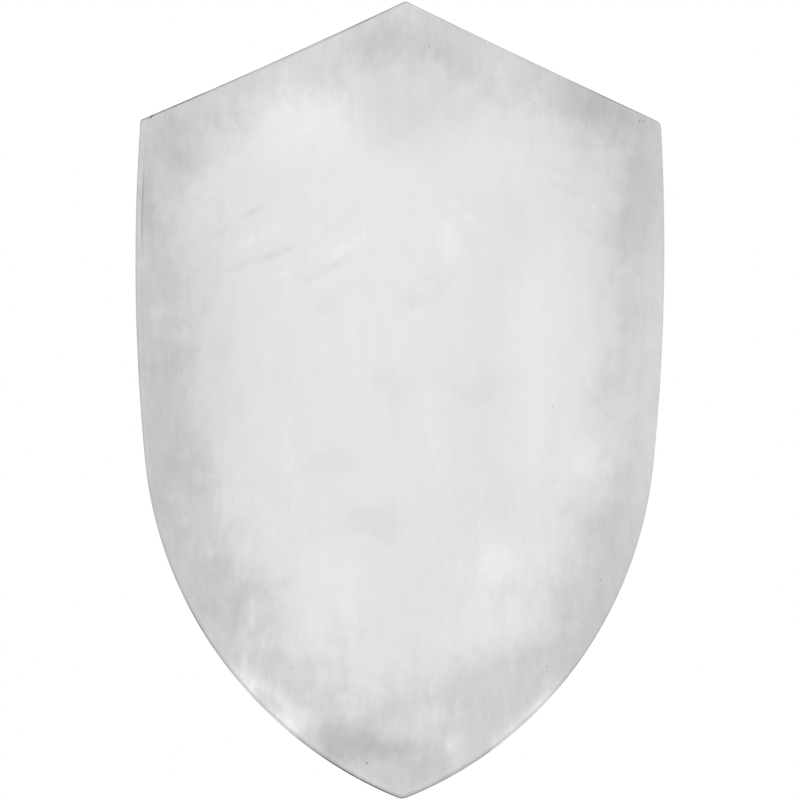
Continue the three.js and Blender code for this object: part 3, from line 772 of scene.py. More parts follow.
class Buckle:
    """Where the buckle's bars, rivets and tail lie in the forearm strap's side view."""

    def __init__(self, shield):
        fittings, leather, strap = shield.fittings, shield.leather, shield.forearm
        half, heel = leather.thickness / 2, fittings.heel_place
        self.wrap = wrap_of(fittings.buckle_wire, leather)
        self.prong_wrap = fittings.buckle_wire / 2 + SEAT_GAP + fittings.prong_thickness / 2
        self.heel = complex(heel, strap.arch - self.wrap)
        above = strap.arch + half + SEAT_GAP + fittings.buckle_wire / 2
        self.front = complex(heel - fittings.buckle_length, above)
        self.tail_offset = leather.thickness + fittings.head_height + SEAT_GAP * 2
        room = leather.keeper_width + KEEPER_PLAY * 2 + SEAT_GAP * 2
        places = [fittings.heel_rivet, fittings.heel_rivet + fittings.head + room]
        self.last_rivet = places[-1]
        inner = fold_offset(leather) + half
        self.rivets = [
            Rivet(f"buckle_{i}", complex(heel + place, strap.arch), QUARTER, 0, half, inner)
            for i, place in enumerate(places, 1)
        ]
        self.keeper_height = heel + sum(places) / 2


def buckle_half(shield):
    """The half folded round the buckle's heel bar, with the slot that the prong turns in."""
    strap, leather, fittings = shield.forearm, shield.leather, shield.fittings
    buckle = Buckle(shield)
    route = route_from_loop(strap, shield).ahead(Leg(strap, shield).top_half - fittings.heel_place)
    fold_back(route, 1, buckle.wrap, buckle.last_rivet, shield)
    slot = (buckle.wrap + leather.thickness + SIDE_GAP) * 2
    depth = (buckle.wrap + leather.thickness + PUNCH_ROOM) * 2
    prong_slot = (placing(buckle.heel), slot, fittings.prong_width + SIDE_GAP * 2, depth)
    return punch(strap_mesh(route, strap, leather), [prong_slot])


def tail_half(shield):
    """The half that runs through the buckle to its point, with its punched holes."""
    strap, leather, fittings = shield.forearm, shield.leather, shield.fittings
    buckle, leg = Buckle(shield), Leg(strap, shield)
    route = route_from_loop(strap, shield).ahead(leg.top_half + buckle.front.real + fittings.buckle_wire / 2)
    climb = (buckle.tail_offset - TAIL_CURVE * 2 * (1 - math.cos(TAIL_SLOPE))) / math.sin(TAIL_SLOPE)
    route.turn(-TAIL_SLOPE, TAIL_CURVE).ahead(climb).turn(TAIL_SLOPE, TAIL_CURVE)
    route.ahead(leg.top_half + route.end.real)
    route.turn(TAIL_BEND, strap.bend + buckle.tail_offset).ahead(TAIL_END).mirrored()
    middle = strap.arch + buckle.tail_offset
    foot = buckle.heel + cmath.rect(buckle.prong_wrap, PRONG_HEADING - QUARTER)
    crossing = foot.real + (middle - foot.imag) / math.tan(PRONG_HEADING)
    play = (middle - buckle.heel.imag) * PRONG_PLAY
    lean = leather.thickness / abs(math.tan(PRONG_HEADING))
    corner = PRONG_HOLE / 2 - math.sqrt(PRONG_HOLE**2 - fittings.prong_width**2) / 2
    oblong = fittings.prong_thickness / math.sin(PRONG_HEADING) + lean + play + (SEAT_GAP + corner) * 2
    depth = (leather.thickness + PUNCH_ROOM) * 2
    holes = [(placing(complex(crossing + play / 2, middle)), oblong, PRONG_HOLE, depth)]
    for pitches, out in ((1, middle), (2, middle), (-2, strap.arch)):
        place = placing(complex(crossing + HOLE_PITCH * pitches, out))
        holes.append((place, PUNCHED_HOLE, PUNCHED_HOLE, depth))
    return punch(strap_mesh(route, strap, leather, TAIL_STEP, pointed), holes)


def grip_strap(shield):
    """The hand grip, folded round both of its loops."""
    strap, leg = shield.grip, Leg(shield.grip, shield)
    route = route_from_loop(strap, shield).ahead(leg.top_half * 2)
    route.turn(leg.bend_sweep, strap.bend).ahead(leg.length)
    fold_back(route, -1, leg.wrap, strap.rivet_place, shield)
    return strap_mesh(route, strap, shield.leather)


def liner_route(shield, inwards):
    """The lining's route, or another at a distance inside the strap's own."""
    strap, leg = shield.grip, Leg(shield.grip, shield)
    start = leg.foot + cmath.rect(strap.liner_start, leg.heading) + cmath.rect(inwards, leg.heading + QUARTER)
    run = leg.length - strap.liner_start
    route = Route(start, leg.heading).ahead(run).turn(leg.bend_sweep, strap.bend - inwards)
    return route.ahead(leg.top_half * 2).turn(leg.bend_sweep, strap.bend - inwards).ahead(run)


def stitches(mesh, route, pitch, across, out):
    """Thread on one face, each stitch a short bow that dips into the leather at both ends."""
    points = route.finely(STITCH_STEP)
    sides = left_sides(points)
    count = int(sum(abs(b - a) for a, b in zip(points, points[1:])) / pitch)
    per = len(points) / count
    section = [(across + a, b) for a, b in rod(THREAD, THREAD_SIDES)]
    for i in range(1, count - 1):
        first, last = int((i + STITCH_START) * per), int((i + STITCH_END) * per)
        bow = []
        for k in range(BOW_STEPS + 1):
            pick = first + (last - first) * k // BOW_STEPS
            lift = math.copysign(STITCH_BOW, out) * (math.sin(math.pi * k / BOW_STEPS) - STITCH_SUNK)
            bow.append(points[pick] + sides[pick] * (out + lift))
        sweep(bow, section, mesh=mesh)


# Fittings


def loop_seat(strap, shield):
    """How far to either side of its middle a loop stands on the plate, and how high."""
    reach = shield.plate.bend - shield.plate.sheet
    aside = strap.width / 2 + LOOP_SIDE_GAP + shield.fittings.loop_wire / 2
    return aside, reach - math.sqrt(reach**2 - aside**2) + SEAT_GAP


def loop_mesh(strap, shield):
    """A square loop of bar with a rippled weld round each foot. The welds get slot 1."""
    fittings, plate = shield.fittings, shield.plate
    aside, seat = loop_seat(strap, shield)
    foot = seat + fittings.weld_height / 4
    leg = fittings.loop_height - fittings.loop_corner - foot
    route = Route(complex(-aside, foot), QUARTER).ahead(leg).turn(-QUARTER, fittings.loop_corner)
    route.ahead((aside - fittings.loop_corner) * 2).turn(-QUARTER, fittings.loop_corner).ahead(leg)
    mesh = sweep(route.points, rod(fittings.loop_wire), Matrix())
    for side in (-aside, aside):
        lean = math.asin(side / (plate.bend - plate.sheet))
        weld_bead(mesh, Matrix.Translation((side, seat, 0)) @ Matrix.Rotation(lean, 4, "Z"), fittings)
    return mesh


def weld_bead(mesh, place, fittings):
    """A fillet of weld laid round a bar, its puddles lapping one over the next."""
    inner, outer, high = fittings.loop_wire / 2, fittings.weld_radius, fittings.weld_height
    rings = []
    for k in range(WELD_STEPS + 1):
        share = k / WELD_STEPS
        ring = []
        for i in range(WELD_SIDES):
            turn = math.tau * i / WELD_SIDES
            lap = (turn * WELD_RIPPLES / math.tau + share * RIPPLE_SLANT) % 1
            ripple = RIPPLE_HEIGHT * (1 - lap) * math.sin(math.pi * share)
            radius = outer - (outer - inner) * share**WELD_SPREAD - RIPPLE_ROOM + ripple
            spot = Vector((radius * math.cos(turn), high * share**WELD_RISE, radius * math.sin(turn)))
            ring.append(mesh.verts.new(place @ spot))
        rings.append(ring)
    skin(mesh, rings, slot=1)
    for ring in (rings[0], rings[-1]):
        mesh.faces.new(ring).material_index = 1


def rivet_mesh(rivet, fittings, seed):
    """A domed head, a shank and a closed-over end, as they lie through the leather."""
    top = rivet.outer + SEAT_GAP
    closed = -rivet.inner - SEAT_GAP * 2 - BURR_THICKNESS
    head, shank, rise = fittings.head / 2, fittings.shank / 2, fittings.head_height - HEAD_RIM
    turns = [QUARTER * i / DOME_STEPS for i in range(DOME_STEPS + 1)]
    dome = [(head * math.cos(t), top + HEAD_RIM + rise * math.sin(t)) for t in turns]
    rim, crown = PEENED_HEIGHT * PEENED_RIM, PEENED_HEIGHT * (1 - PEENED_RIM)
    turns = [QUARTER * i / PEENED_STEPS for i in range(PEENED_STEPS, -1, -1)]
    end = [(PEENED_RADIUS * math.cos(t), closed - rim - crown * math.sin(t)) for t in turns]
    sides = [(PEENED_RADIUS, closed), (shank, closed), (shank, top)]
    sides += [(head - HEAD_BEVEL, top), (head, top + HEAD_BEVEL)]
    return lathe([*end, *sides, *dome], flats=FLAT_DEPTH, seed=seed)


def burr_mesh(rivet, fittings):
    """The washer under a rivet's closed-over end."""
    top = -rivet.inner - SEAT_GAP
    low = top - BURR_THICKNESS
    hole, flat = fittings.shank / 2 + SEAT_GAP, BURR_RADIUS - BURR_BEVEL
    rim = [(flat, low), (BURR_RADIUS, low + BURR_BEVEL), (BURR_RADIUS, top - BURR_BEVEL), (flat, top)]
    return lathe([(hole, low), *rim, (hole, top), (hole, low)])


def add_rivets(rivets, place, shield, steel):
    """Makes each rivet of a strap, and its burr."""
    for i, rivet in enumerate(rivets):
        matrix = place @ placing(rivet.point, rivet.facing, rivet.across)
        mesh = rivet_mesh(rivet, shield.fittings, i * SEED_STEP)
        make_piece(f"rivet_{rivet.name}", mesh, matrix, [steel])
        make_piece(f"burr_{rivet.name}", burr_mesh(rivet, shield.fittings), matrix, [steel])


def frame_mesh(shield):
    """The buckle's wire frame, slanting from its heel bar out to its front bar."""
    fittings, buckle = shield.fittings, Buckle(shield)
    half = shield.forearm.width / 2 + SIDE_GAP + fittings.buckle_wire / 2
    slope = buckle.front - buckle.heel
    points = oblong_route(half, 0, abs(slope), fittings.buckle_corner)
    along, across = Vector((0, slope.imag, slope.real)).normalized(), Vector((1, 0, 0))
    axes = Matrix((across, along, across.cross(along))).transposed().to_4x4()
    place = Matrix.Translation((0, buckle.heel.imag, buckle.heel.real)) @ axes
    return sweep(points, rod(fittings.buckle_wire), place, closed=True)


def blunt(from_start, from_end):
    """The prong's rounded tip."""
    share = min(1, max(from_end, 0) / PRONG_TIP)
    bow = math.sqrt(1 - (1 - share) ** 2)
    return TIP_WIDTH + (1 - TIP_WIDTH) * bow, TIP_THICKNESS + (1 - TIP_THICKNESS) * bow


def prong_mesh(shield):
    """The prong, from the free end of its curl, through the tail and over the front bar."""
    fittings, buckle = shield.fittings, Buckle(shield)
    wrap, curl = buckle.prong_wrap, PRONG_HEADING - QUARTER - PRONG_CURL
    route = Route(buckle.heel + cmath.rect(wrap, curl), curl + QUARTER)
    route.turn(PRONG_CURL, wrap).ahead(PRONG_RISE)
    centre = route.end + cmath.rect(PRONG_ARCH, route.heading + QUARTER)
    to_bar = buckle.front - centre
    lift = wrap - PRONG_ARCH
    heading = cmath.phase(to_bar) % math.tau - math.asin(lift / abs(to_bar))
    route.turn((heading - route.heading) % math.tau, PRONG_ARCH)
    route.ahead(math.sqrt(abs(to_bar) ** 2 - lift**2) + PRONG_OVERHANG)
    section = slab(fittings.prong_width, fittings.prong_thickness, PRONG_EDGE)
    return sweep(route.finely(PRONG_STEP), section, shape=blunt)


def keeper_mesh(shield):
    """A leather ring round the buckle half, its fold and the tail."""
    leather, strap, buckle = shield.leather, shield.forearm, Buckle(shield)
    wall = leather.keeper_thickness
    room = KEEPER_GAP + wall / 2
    low = strap.arch - fold_offset(leather) - leather.thickness / 2 - room
    high = strap.arch + buckle.tail_offset + leather.thickness / 2 + room
    points = oblong_route(strap.width / 2 + room, low, high, wall * KEEPER_CORNER)
    section = slab(leather.keeper_width, wall, KEEPER_EDGE, KEEPER_CREASE, KEEPER_CREASE_DEPTH)
    section = [(across, -out) for across, out in section]
    return sweep(points, section, Matrix.Translation((0, 0, buckle.keeper_height)), closed=True)


# Materials


def add(tree, kind, inputs=(), **settings):
    """Adds a node with its settings and links. Its inputs come in the node's own order, or by
    name. Each is a value, an output of another node, or that node, whose first output is used."""
    node = tree.nodes.new("ShaderNode" + kind)
    for name, value in settings.items():
        setattr(node, name, value)
    sockets = [socket for socket in node.inputs if socket.enabled]
    if isinstance(inputs, dict):
        sockets, inputs = [node.inputs[name] for name in inputs], inputs.values()
    for socket, value in zip(sockets, inputs):
        if isinstance(value, bpy.types.Node):
            value = next(output for output in value.outputs if output.enabled)
        if isinstance(value, bpy.types.NodeSocket):
            tree.links.new(value, socket)
        else:
            socket.default_value = value
    return node


def start_material(name):
    """A new material, its empty node tree and the place on the piece."""
    material = bpy.data.materials.new(name)
    material.use_nodes = True
    tree = material.node_tree
    tree.nodes.clear()
    return material, tree, add(tree, "TexCoord").outputs["Object"]


def finish_material(material, inputs):
    """Gives a material its shader."""
    tree = material.node_tree
    add(tree, "OutputMaterial", [add(tree, "BsdfPrincipled", inputs)])
    return material


def patches(tree, place, sizes, detail=3, roughness=0.55, distortion=0):
    """Uneven patches about as large as the sizes, in mm, along X, Y and Z."""
    mapped = add(tree, "Mapping", {"Vector": place, "Scale": [1 / (size * MM) for size in sizes]})
    inputs = {"Vector": mapped, "Scale": 1, "Detail": detail, "Roughness": roughness}
    return add(tree, "TexNoise", {**inputs, "Distortion": distortion})


def wandered(tree, place, size, reach, detail, roughness=0.5):
    """A place moved about by noise of a size in mm, within as many mm along X, Y and Z as reach."""
    inputs = {"Vector": place, "Scale": 1 / (size * MM), "Detail": detail, "Roughness": roughness}
    drift = add(tree, "TexNoise", inputs).outputs["Color"]
    both_ways = add(tree, "VectorMath", [drift, (0.5, 0.5, 0.5)], operation="SUBTRACT")
    reach = [distance * MM for distance in reach]
    return add(tree, "VectorMath", [both_ways, reach, place], operation="MULTIPLY_ADD")


def layered(tree, *layers):
    """The sum of patterns. Each comes with two of its values and what they turn into."""
    total = None
    for layer in layers:
        part = add(tree, "MapRange", layer)
        total = add(tree, "Math", [total, part], operation="ADD") if total else part
    return total


def tinted(tree, base, tone, blue=1):
    """A colour made lighter and darker by a tone, and a little warmer where blue is below 1."""
    cool = add(tree, "Math", [tone, blue], operation="MULTIPLY") if blue < 1 else tone
    tint = add(tree, "CombineColor", [tone, tone, cool])
    return add(tree, "Mix", [1, tuple(base), tint], data_type="RGBA", blend_type="MULTIPLY")


def heat_colours(tree, heat, stops):
    """The colours that heat leaves on steel, as (place from 0 to 1, colour)."""
    ramp = add(tree, "ValToRGB", [heat])
    colours = ramp.color_ramp.elements
    for place, value in stops[1:-1]:
        colours.new(place).color = linear(value)
    for end in (0, -1):
        colours[end].position, colours[end].color = stops[end][0], linear(stops[end][1])
    return ramp


# Clouds on the face, placed one by one: across from the middle and height above the foot, half width
# and half height, all in mm, then the tilt in degrees and how much lighter or darker it is.
# Much of the clouds is painted reflection and painted shade; the rest is the uneven polish.
CLOUDS = (
    (4, 688, 82, 80, 0, -0.40), (-40, 716, 40, 26, 20, -0.10), (190, 664, 52, 28, -25, -0.38),
    (228, 575, 26, 60, 0, -0.20), (246, 400, 40, 200, 0, 0.42), (-206, 630, 42, 30, 0, -0.30),
    (-205, 430, 50, 170, 0, -0.15), (-232, 410, 22, 50, 0, -0.10), (-242, 564, 12, 40, 0, -0.30),
    (-211, 290, 34, 80, -12, -0.20), (-172, 196, 42, 46, -30, -0.26), (178, 160, 32, 40, 0, -0.06),
    (-48, 55, 54, 24, 0, -0.56), (2, 34, 44, 28, 0, -0.30), (39, 103, 76, 38, 0, -0.06),
    (-14, 396, 24, 16, 0, -0.12), (77, 396, 40, 15, 0, -0.12), (-72, 319, 34, 15, 0, -0.12),
    (-28, 266, 38, 17, 0, -0.16), (18, 484, 38, 10, 28, -0.12), (-74, 470, 20, 14, 0, -0.08),
    (42, 535, 15, 26, 0, 0.16), (89, 228, 22, 22, 0, 0.18), (-96, 652, 70, 48, 20, 0.13),
    (-122, 90, 58, 20, -42, 0.50), (126, 80, 48, 16, 38, 0.44), (52, 50, 12, 24, 0, 0.20),
    (110, 606, 56, 30, 0, 0.10), (-70, 180, 44, 80, 0, 0.12), (108, 212, 60, 62, 0, 0.20),
    (150, 400, 62, 210, 0, 0.34), (182, 318, 30, 52, 0, 0.24), (-126, 92, 9, 15, 15, -0.34),
    (80, 160, 60, 40, 10, 0.10), (-200, 566, 26, 40, 10, 0.14), (-20, 34, 60, 12, -30, 0.14),
)

# Strokes of the buffing wheel, laid out in the same way
STROKES = (
    (-144, 559, 17, 4, 28, -0.26), (-121, 522, 26, 5, 24, -0.26), (-152, 512, 22, 4, 26, -0.22),
    (-76, 504, 30, 5, 27, -0.20), (-49, 530, 34, 6, 32, 0.14), (-134, 538, 30, 6, 26, 0.14),
    (-98, 512, 30, 4, 28, 0.10), (-60, 548, 26, 4, 30, -0.10), (-172, 540, 18, 4, 30, -0.14),
    (20, 498, 26, 4, 30, -0.16), (60, 562, 34, 6, -38, 0.12), (160, 585, 30, 6, -25, -0.14),
    (184, 566, 28, 6, -50, 0.14), (172, 545, 24, 5, -30, -0.12), (140, 610, 34, 6, -20, -0.10),
    (-150, 150, 46, 5, 76, 0.30), (-138, 138, 38, 4, 72, 0.26), (-160, 172, 40, 6, 70, -0.26),
    (-128, 168, 44, 6, 82, -0.14), (-172, 214, 50, 7, 66, -0.16), (-184, 236, 46, 6, 70, 0.14),
    (-104, 312, 8, 60, 0, 0.12), (30, 330, 7, 56, 0, 0.09), (74, 304, 7, 60, 0, 0.09),
    (-112, 402, 8, 66, 0, -0.07), (112, 430, 8, 60, 0, -0.06), (-60, 96, 34, 5, 12, 0.10),
    (60, 118, 40, 5, 10, -0.10), (44, 52, 5, 22, -8, 0.22), (62, 60, 5, 22, -14, -0.16),
)

# Pits and the crease at the left shoulder, laid out in the same way
FLAWS = (
    (22.6, 720, 0.9, 0.7, 0, -1.6), (27.5, 746, 0.7, 0.7, 0, -1.4), (228.4, 650, 0.7, 1.2, 0, -1.6),
    (125, 666, 0.8, 0.6, 0, -1.3), (191.8, 211, 0.8, 0.8, 0, -1.5), (139, 128, 0.9, 0.7, 0, -1.5),
    (-34, 35, 1.1, 1.0, 0, -1.8), (-106.7, 125, 0.8, 0.6, 0, -1.2), (144, 376, 0.7, 0.7, 0, -1.3),
    (144, 305, 0.7, 0.7, 0, -1.2), (231.9, 650, 0.7, 1.2, 0, -1.6), (-239, 652.5, 4.6, 0.7, 45, -2.2),
)

# Where the rolled edge is tightest and its painted shade deepest, and where a painted bright strip shows
# instead
RIM_SHADE_AND_LIGHT = (
    (-222, 665, 40, 14, 25, -1.6), (-190, 172, 30, 34, -35, -1.8), (205, 665, 50, 12, -25, -0.7),
    (-40, 12, 60, 14, -28, -1.0), (-128, 92, 46, 20, -42, 1.5), (118, 80, 48, 20, 40, 1.5),
)
# Where the left roll shows a painted highlight, with a painted shade line beside it
LEFT_ROLL = ((-250, 566, 26, 36, 0, 0.55), (-250, 470, 26, 200, 0, 0.14))
# Painted glints on the lower rolled edges
GLINTS = (
    (-146, 112, 26, 14, -44, 0.7), (-112, 74, 22, 13, -38, 0.8),
    (138, 92, 22, 13, 42, 0.8), (98, 58, 20, 12, 34, 0.8),
)


def marks(tree, place, spots, even):
    """The sum of soft-edged ovals on the face. even is the share of an oval that is even."""
    total = None
    for across, height, wide, high, tilt, strength in spots:
        inputs = {
            "Vector": place,
            "Location": (across * MM, 0, height * MM),
            "Rotation": (0, -math.radians(tilt), 0),
            "Scale": (wide * MM, ANY_DEPTH, high * MM),
        }
        oval = add(tree, "Mapping", inputs, vector_type="TEXTURE")
        away = add(tree, "VectorMath", [oval], operation="LENGTH")
        mark = [away, even, OVAL_END, strength, 0]
        mark = add(tree, "MapRange", mark, interpolation_type="SMOOTHSTEP")
        total = add(tree, "Math", [total, mark], operation="ADD") if total else mark
    return total


def satin_steel(shield):
    """Cold-rolled mild steel, ground upright with a flap wheel and buffed until it is satin.
    It gives fine upright lines, broad cloudy reflections and no mirror image."""
    # The clouds, the darkening towards the edge, the shade at the rim and the glints are painted reflection,
    # highlight and shade in the colour.
    material, tree, place = start_material("mild_steel_ground_satin")
    foot = shield_place(shield).translation
    at_foot = add(tree, "VectorMath", [place, -foot], operation="ADD")
    inset = add(tree, "Attribute", attribute_name="inset").outputs["Fac"]
    # Grit of about 0.25 mm leaves lines finer than a pixel, so they are drawn 1.3 mm wide. The
    # grinder is held by hand, so the lines sway a little and some patches keep more of them.
    swayed = wandered(tree, at_foot, 160, (30, 0, 30), detail=1)
    fine = patches(tree, swayed, (1.3, THROUGH, 40), detail=4, roughness=0.6)
    kept = patches(tree, at_foot, (48, THROUGH, 90), detail=4)
    kept = add(tree, "MapRange", [kept, 0.4, 0.62, 0.35, 1.9])
    broad = patches(tree, at_foot, (9, THROUGH, 130), detail=4, roughness=0.65)
    mottled = patches(tree, at_foot, (15, THROUGH, 30), detail=8, roughness=0.72, distortion=0.2)
    # Painted shade darkens the face towards its edge, which is also duller and more mottled, as the buffing
    # wheel dwells on the middle of the face.
    wander = patches(tree, at_foot, (50, THROUGH, 62), detail=8, roughness=0.66)
    wander = add(tree, "MapRange", [wander, *MOST, -36 * MM, 36 * MM])
    reached = add(tree, "Math", [inset, wander], operation="ADD")
    mottled_here = add(tree, "MapRange", [reached, 20 * MM, 110 * MM, 0.2, 0.06])
    lines_here = add(tree, "MapRange", [reached, 0, 90 * MM, 0.12, 0.06])
    lines_here = add(tree, "Math", [lines_here, kept], operation="MULTIPLY")
    # A thin line of painted shade at the very edge, most of it where the fold is tight, and lifted into a
    # painted bright strip in places.
    rim_shade = patches(tree, at_foot, (60, THROUGH, 60), detail=4)
    rim_shade = add(tree, "MapRange", [rim_shade, 0.36, 0.64, -1.5, -0.5])
    rim_shade = add(tree, "Math", [rim_shade, marks(tree, at_foot, RIM_SHADE_AND_LIGHT, 0.5)], operation="ADD")
    # What fades from a strength to nothing on the way in, between two distances in mm: the painted shade
    # towards the edge, the rim's painted shade, a painted shade line beside the left edge where the sheet
    # pinches as the roll begins, a painted highlight on the roll itself, and the reach of the painted glints.
    border_shade, rim, beside, on_roll, near_roll = [
        add(tree, "MapRange", [way, low * MM, high * MM, strength, 0], interpolation_type="SMOOTHSTEP")
        for way, low, high, strength in (
            (reached, 22, 72, -0.36), (inset, 0.7, 1.7, 1), (inset, 7, 9.5, -0.9),
            (inset, 6.2, 7.4, 1.15), (inset, 4, 17, 1),
        )
    ]
    # What lightens or darkens the clouded steel, each with how much of it shows at a place
    layers = (
        # Painted shade towards the edge
        (border_shade, 1),
        (marks(tree, swayed, STROKES, 0), add(tree, "MapRange", [mottled, 0.4, 0.6, 0.1, 1.5])),
        (add(tree, "MapRange", [mottled, *MOST, -1, 1]), mottled_here),
        (add(tree, "MapRange", [broad, *MOST, -0.04, 0.04]), 1),
        (add(tree, "MapRange", [fine, 0.25, 0.75, -1, 1]), lines_here),
        (marks(tree, at_foot, FLAWS, 0.3), 1),
        # Painted shade along the very edge, and a painted bright strip where it is lifted
        (rim, rim_shade),
        # Painted highlight on the left roll and painted shade beside it
        (add(tree, "Math", [beside, on_roll], operation="ADD"), marks(tree, at_foot, LEFT_ROLL, 0.6)),
        # Painted glints
        (add(tree, "Math", [near_roll, mottled], operation="MULTIPLY"), marks(tree, at_foot, GLINTS, 0.2)),
    )
    # The clouds: uneven polish, with painted reflection and painted shade
    ragged = wandered(tree, at_foot, 38, (45, 0, 60), detail=6, roughness=0.66)
    tone = marks(tree, ragged, CLOUDS, 0.3)
    for layer, shown in layers:
        tone = add(tree, "Math", [layer, shown, tone], operation="MULTIPLY_ADD")
    height = add(tree, "Math", [broad, 0.5, fine], operation="MULTIPLY_ADD")
    return finish_material(material, {
        "Base Color": tinted(tree, shield.plate.steel, add(tree, "MapRange", [tone, -3, 2, 0.1, 1.6])),
        "Roughness": layered(tree, (tone, -1, 1, 0.47, 0.36), (fine, *MOST, -0.03, 0.03)),
        "Normal": add(tree, "Bump", {"Strength": 0.12, "Distance": 0.05 * MM, "Height": height}),
        "Tangent": add(tree, "Tangent", direction_type="RADIAL", axis="Z"),
        "Metallic": 1,
        "Anisotropic": 0.35,
    })


def mill_steel(shield, welds):
    """The sheet's back as it came from the mill: greyer and duller, with rolling lines, wiped oil
    and the straw, brown and blue rings that each weld's heat left."""
    material, tree, place = start_material("mild_steel_mill_finish")
    lines = patches(tree, place, (1.8, THROUGH, 90))
    smears = patches(tree, place, (60, 60, 120), detail=6, roughness=0.62, distortion=0.3)
    scuffs = patches(tree, place, (26, THROUGH, 2.5), detail=5, roughness=0.7)
    wiped = (smears, *MOST, 0.80, 1.10)
    tone = layered(tree, wiped, (lines, *MOST, -0.04, 0.04), (scuffs, 0.66, 0.74, 0, 0.10))
    nearest = None
    for weld in welds:
        away = add(tree, "VectorMath", [place, weld], operation="DISTANCE")
        nearest = add(tree, "Math", [nearest, away], operation="MINIMUM") if nearest else away
    wander = patches(tree, place, (14, 14, 14), detail=1)
    wander = add(tree, "MapRange", [wander, *MOST, -1.8 * MM, 1.8 * MM])
    cooled = add(tree, "Math", [nearest, wander], operation="ADD")
    cooled = add(tree, "MapRange", [cooled, 5 * MM, 17 * MM, 0, 1])
    rings = heat_colours(tree, cooled, (
        (0, "#55565a"), (0.16, "#5b6a8c"), (0.3, "#6c5574"), (0.44, "#8a6a45"), (0.62, "#b39a63"),
        (0.85, "#a3a4a3"),
    ))
    strength = add(tree, "MapRange", [cooled, 0.85, 0.5, 0, 0.52])
    base = tinted(tree, shield.plate.back, tone)
    return finish_material(material, {
        "Base Color": add(tree, "Mix", [strength, base, rings], data_type="RGBA"),
        "Roughness": add(tree, "MapRange", [smears, *MOST, 0.5, 0.4]),
        "Normal": add(tree, "Bump", {"Strength": 0.15, "Distance": 0.05 * MM, "Height": lines}),
        "Metallic": 1,
    })


def worked_steel(name, colour_in, roughness, grain, dents, tarnish):
    """A small steel piece. Its grain is the size of the scratches in mm, its dents that of the
    hammer or tumbler marks, and tarnish darkens the hollows between them."""
    material, tree, place = start_material(name)
    scratch = patches(tree, place, (grain, grain, grain), detail=5, roughness=0.7)
    dent = patches(tree, place, (dents, dents, dents), detail=2)
    tone = layered(tree, (dent, 0.35, 0.65, 1 - tarnish, 1.08), (scratch, *MOST, -0.08, 0.08))
    low = add(tree, "Bump", {"Strength": 0.35, "Distance": 0.25 * MM, "Height": dent})
    high = {"Strength": 0.18, "Distance": 0.04 * MM, "Height": scratch, "Normal": low}
    return finish_material(material, {
        "Base Color": tinted(tree, colour_in, tone, blue=0.985),
        "Roughness": add(tree, "MapRange", [scratch, *MOST, roughness - 0.07, roughness + 0.09]),
        "Normal": add(tree, "Bump", high),
        "Metallic": 1,
    })


def weld_steel():
    """Weld metal, wire-brushed: grey, with a little blue and brown left between the ripples."""
    material, tree, place = start_material("weld_bead_wire_brushed")
    heat = patches(tree, place, (2.2, 2.2, 2.2))
    fine = patches(tree, place, (0.5, 0.5, 0.5), detail=4)
    return finish_material(material, {
        "Base Color": heat_colours(tree, heat, ((0.3, "#5d6168"), (0.5, "#6f6860"), (0.7, "#8d8d8c"))),
        "Roughness": add(tree, "MapRange", [fine, *MOST, 0.32, 0.52]),
        "Normal": add(tree, "Bump", {"Strength": 0.3, "Distance": 0.08 * MM, "Height": fine}),
        "Metallic": 1,
    })


def hide(name, colour_in, half_width, pore, roughness, edge_colour, sheen, crack):
    """Leather. Its pores are of a real size in mm, oil and handling darken it unevenly, and its
    edges are burnished. crack is how deep the pores look."""
    material, tree, place = start_material(name)
    inputs = {"Vector": place, "Scale": 1 / (pore * MM), "Randomness": 1}
    pores = add(tree, "TexVoronoi", inputs, feature="SMOOTH_F1")
    fibre = pore * 0.6
    fibres = patches(tree, place, (fibre, fibre, fibre), detail=5, roughness=0.7)
    oil = patches(tree, place, (24, 24, 30), detail=5, roughness=0.6)
    scuff = patches(tree, place, (7, 7, 1.6), detail=6, roughness=0.72)
    oiled, rubbed = (oil, 0.32, 0.68, 0.66, 1.12), (scuff, 0.6, 0.74, 0, 0.38)
    tone = layered(tree, oiled, (pores, 0.15, 0.7, 0.12, -0.2), rubbed)
    across = add(tree, "Math", [add(tree, "SeparateXYZ", [add(tree, "UVMap")])], operation="ABSOLUTE")
    edge = [across, half_width - 1.5 * MM, half_width - 0.4 * MM, 0, 0.9]
    edge = add(tree, "MapRange", edge, interpolation_type="SMOOTHSTEP")
    dull = add(tree, "MapRange", [oil, *MOST, roughness - 0.08, roughness + 0.08])
    sunk = add(tree, "Math", [pores, -1], operation="MULTIPLY")
    height = add(tree, "Math", [fibres, 0.6, sunk], operation="MULTIPLY_ADD")
    base = tinted(tree, colour_in, tone, blue=0.94)
    return finish_material(material, {
        "Base Color": add(tree, "Mix", [edge, base, linear(edge_colour)], data_type="RGBA"),
        "Roughness": add(tree, "Math", [edge, -0.2, dull], operation="MULTIPLY_ADD"),
        "Normal": add(tree, "Bump", {"Strength": crack, "Distance": 0.25 * MM, "Height": height}),
        "IOR": 1.5,
        "Specular IOR Level": 0.32,
        "Sheen Weight": sheen,
        "Sheen Roughness": 0.6,
    })


def bridle_leather(name, half_width, shield):
    """Vegetable-tanned, dyed, oiled and burnished on both sides: a deep uneven brown with a low
    shine, small pores and dark smooth edges."""
    finish = {"pore": 1.2, "roughness": 0.5, "edge_colour": "#24120a", "sheen": 0, "crack": 0.55}
    return hide(name, shield.leather.strap, half_width, **finish)


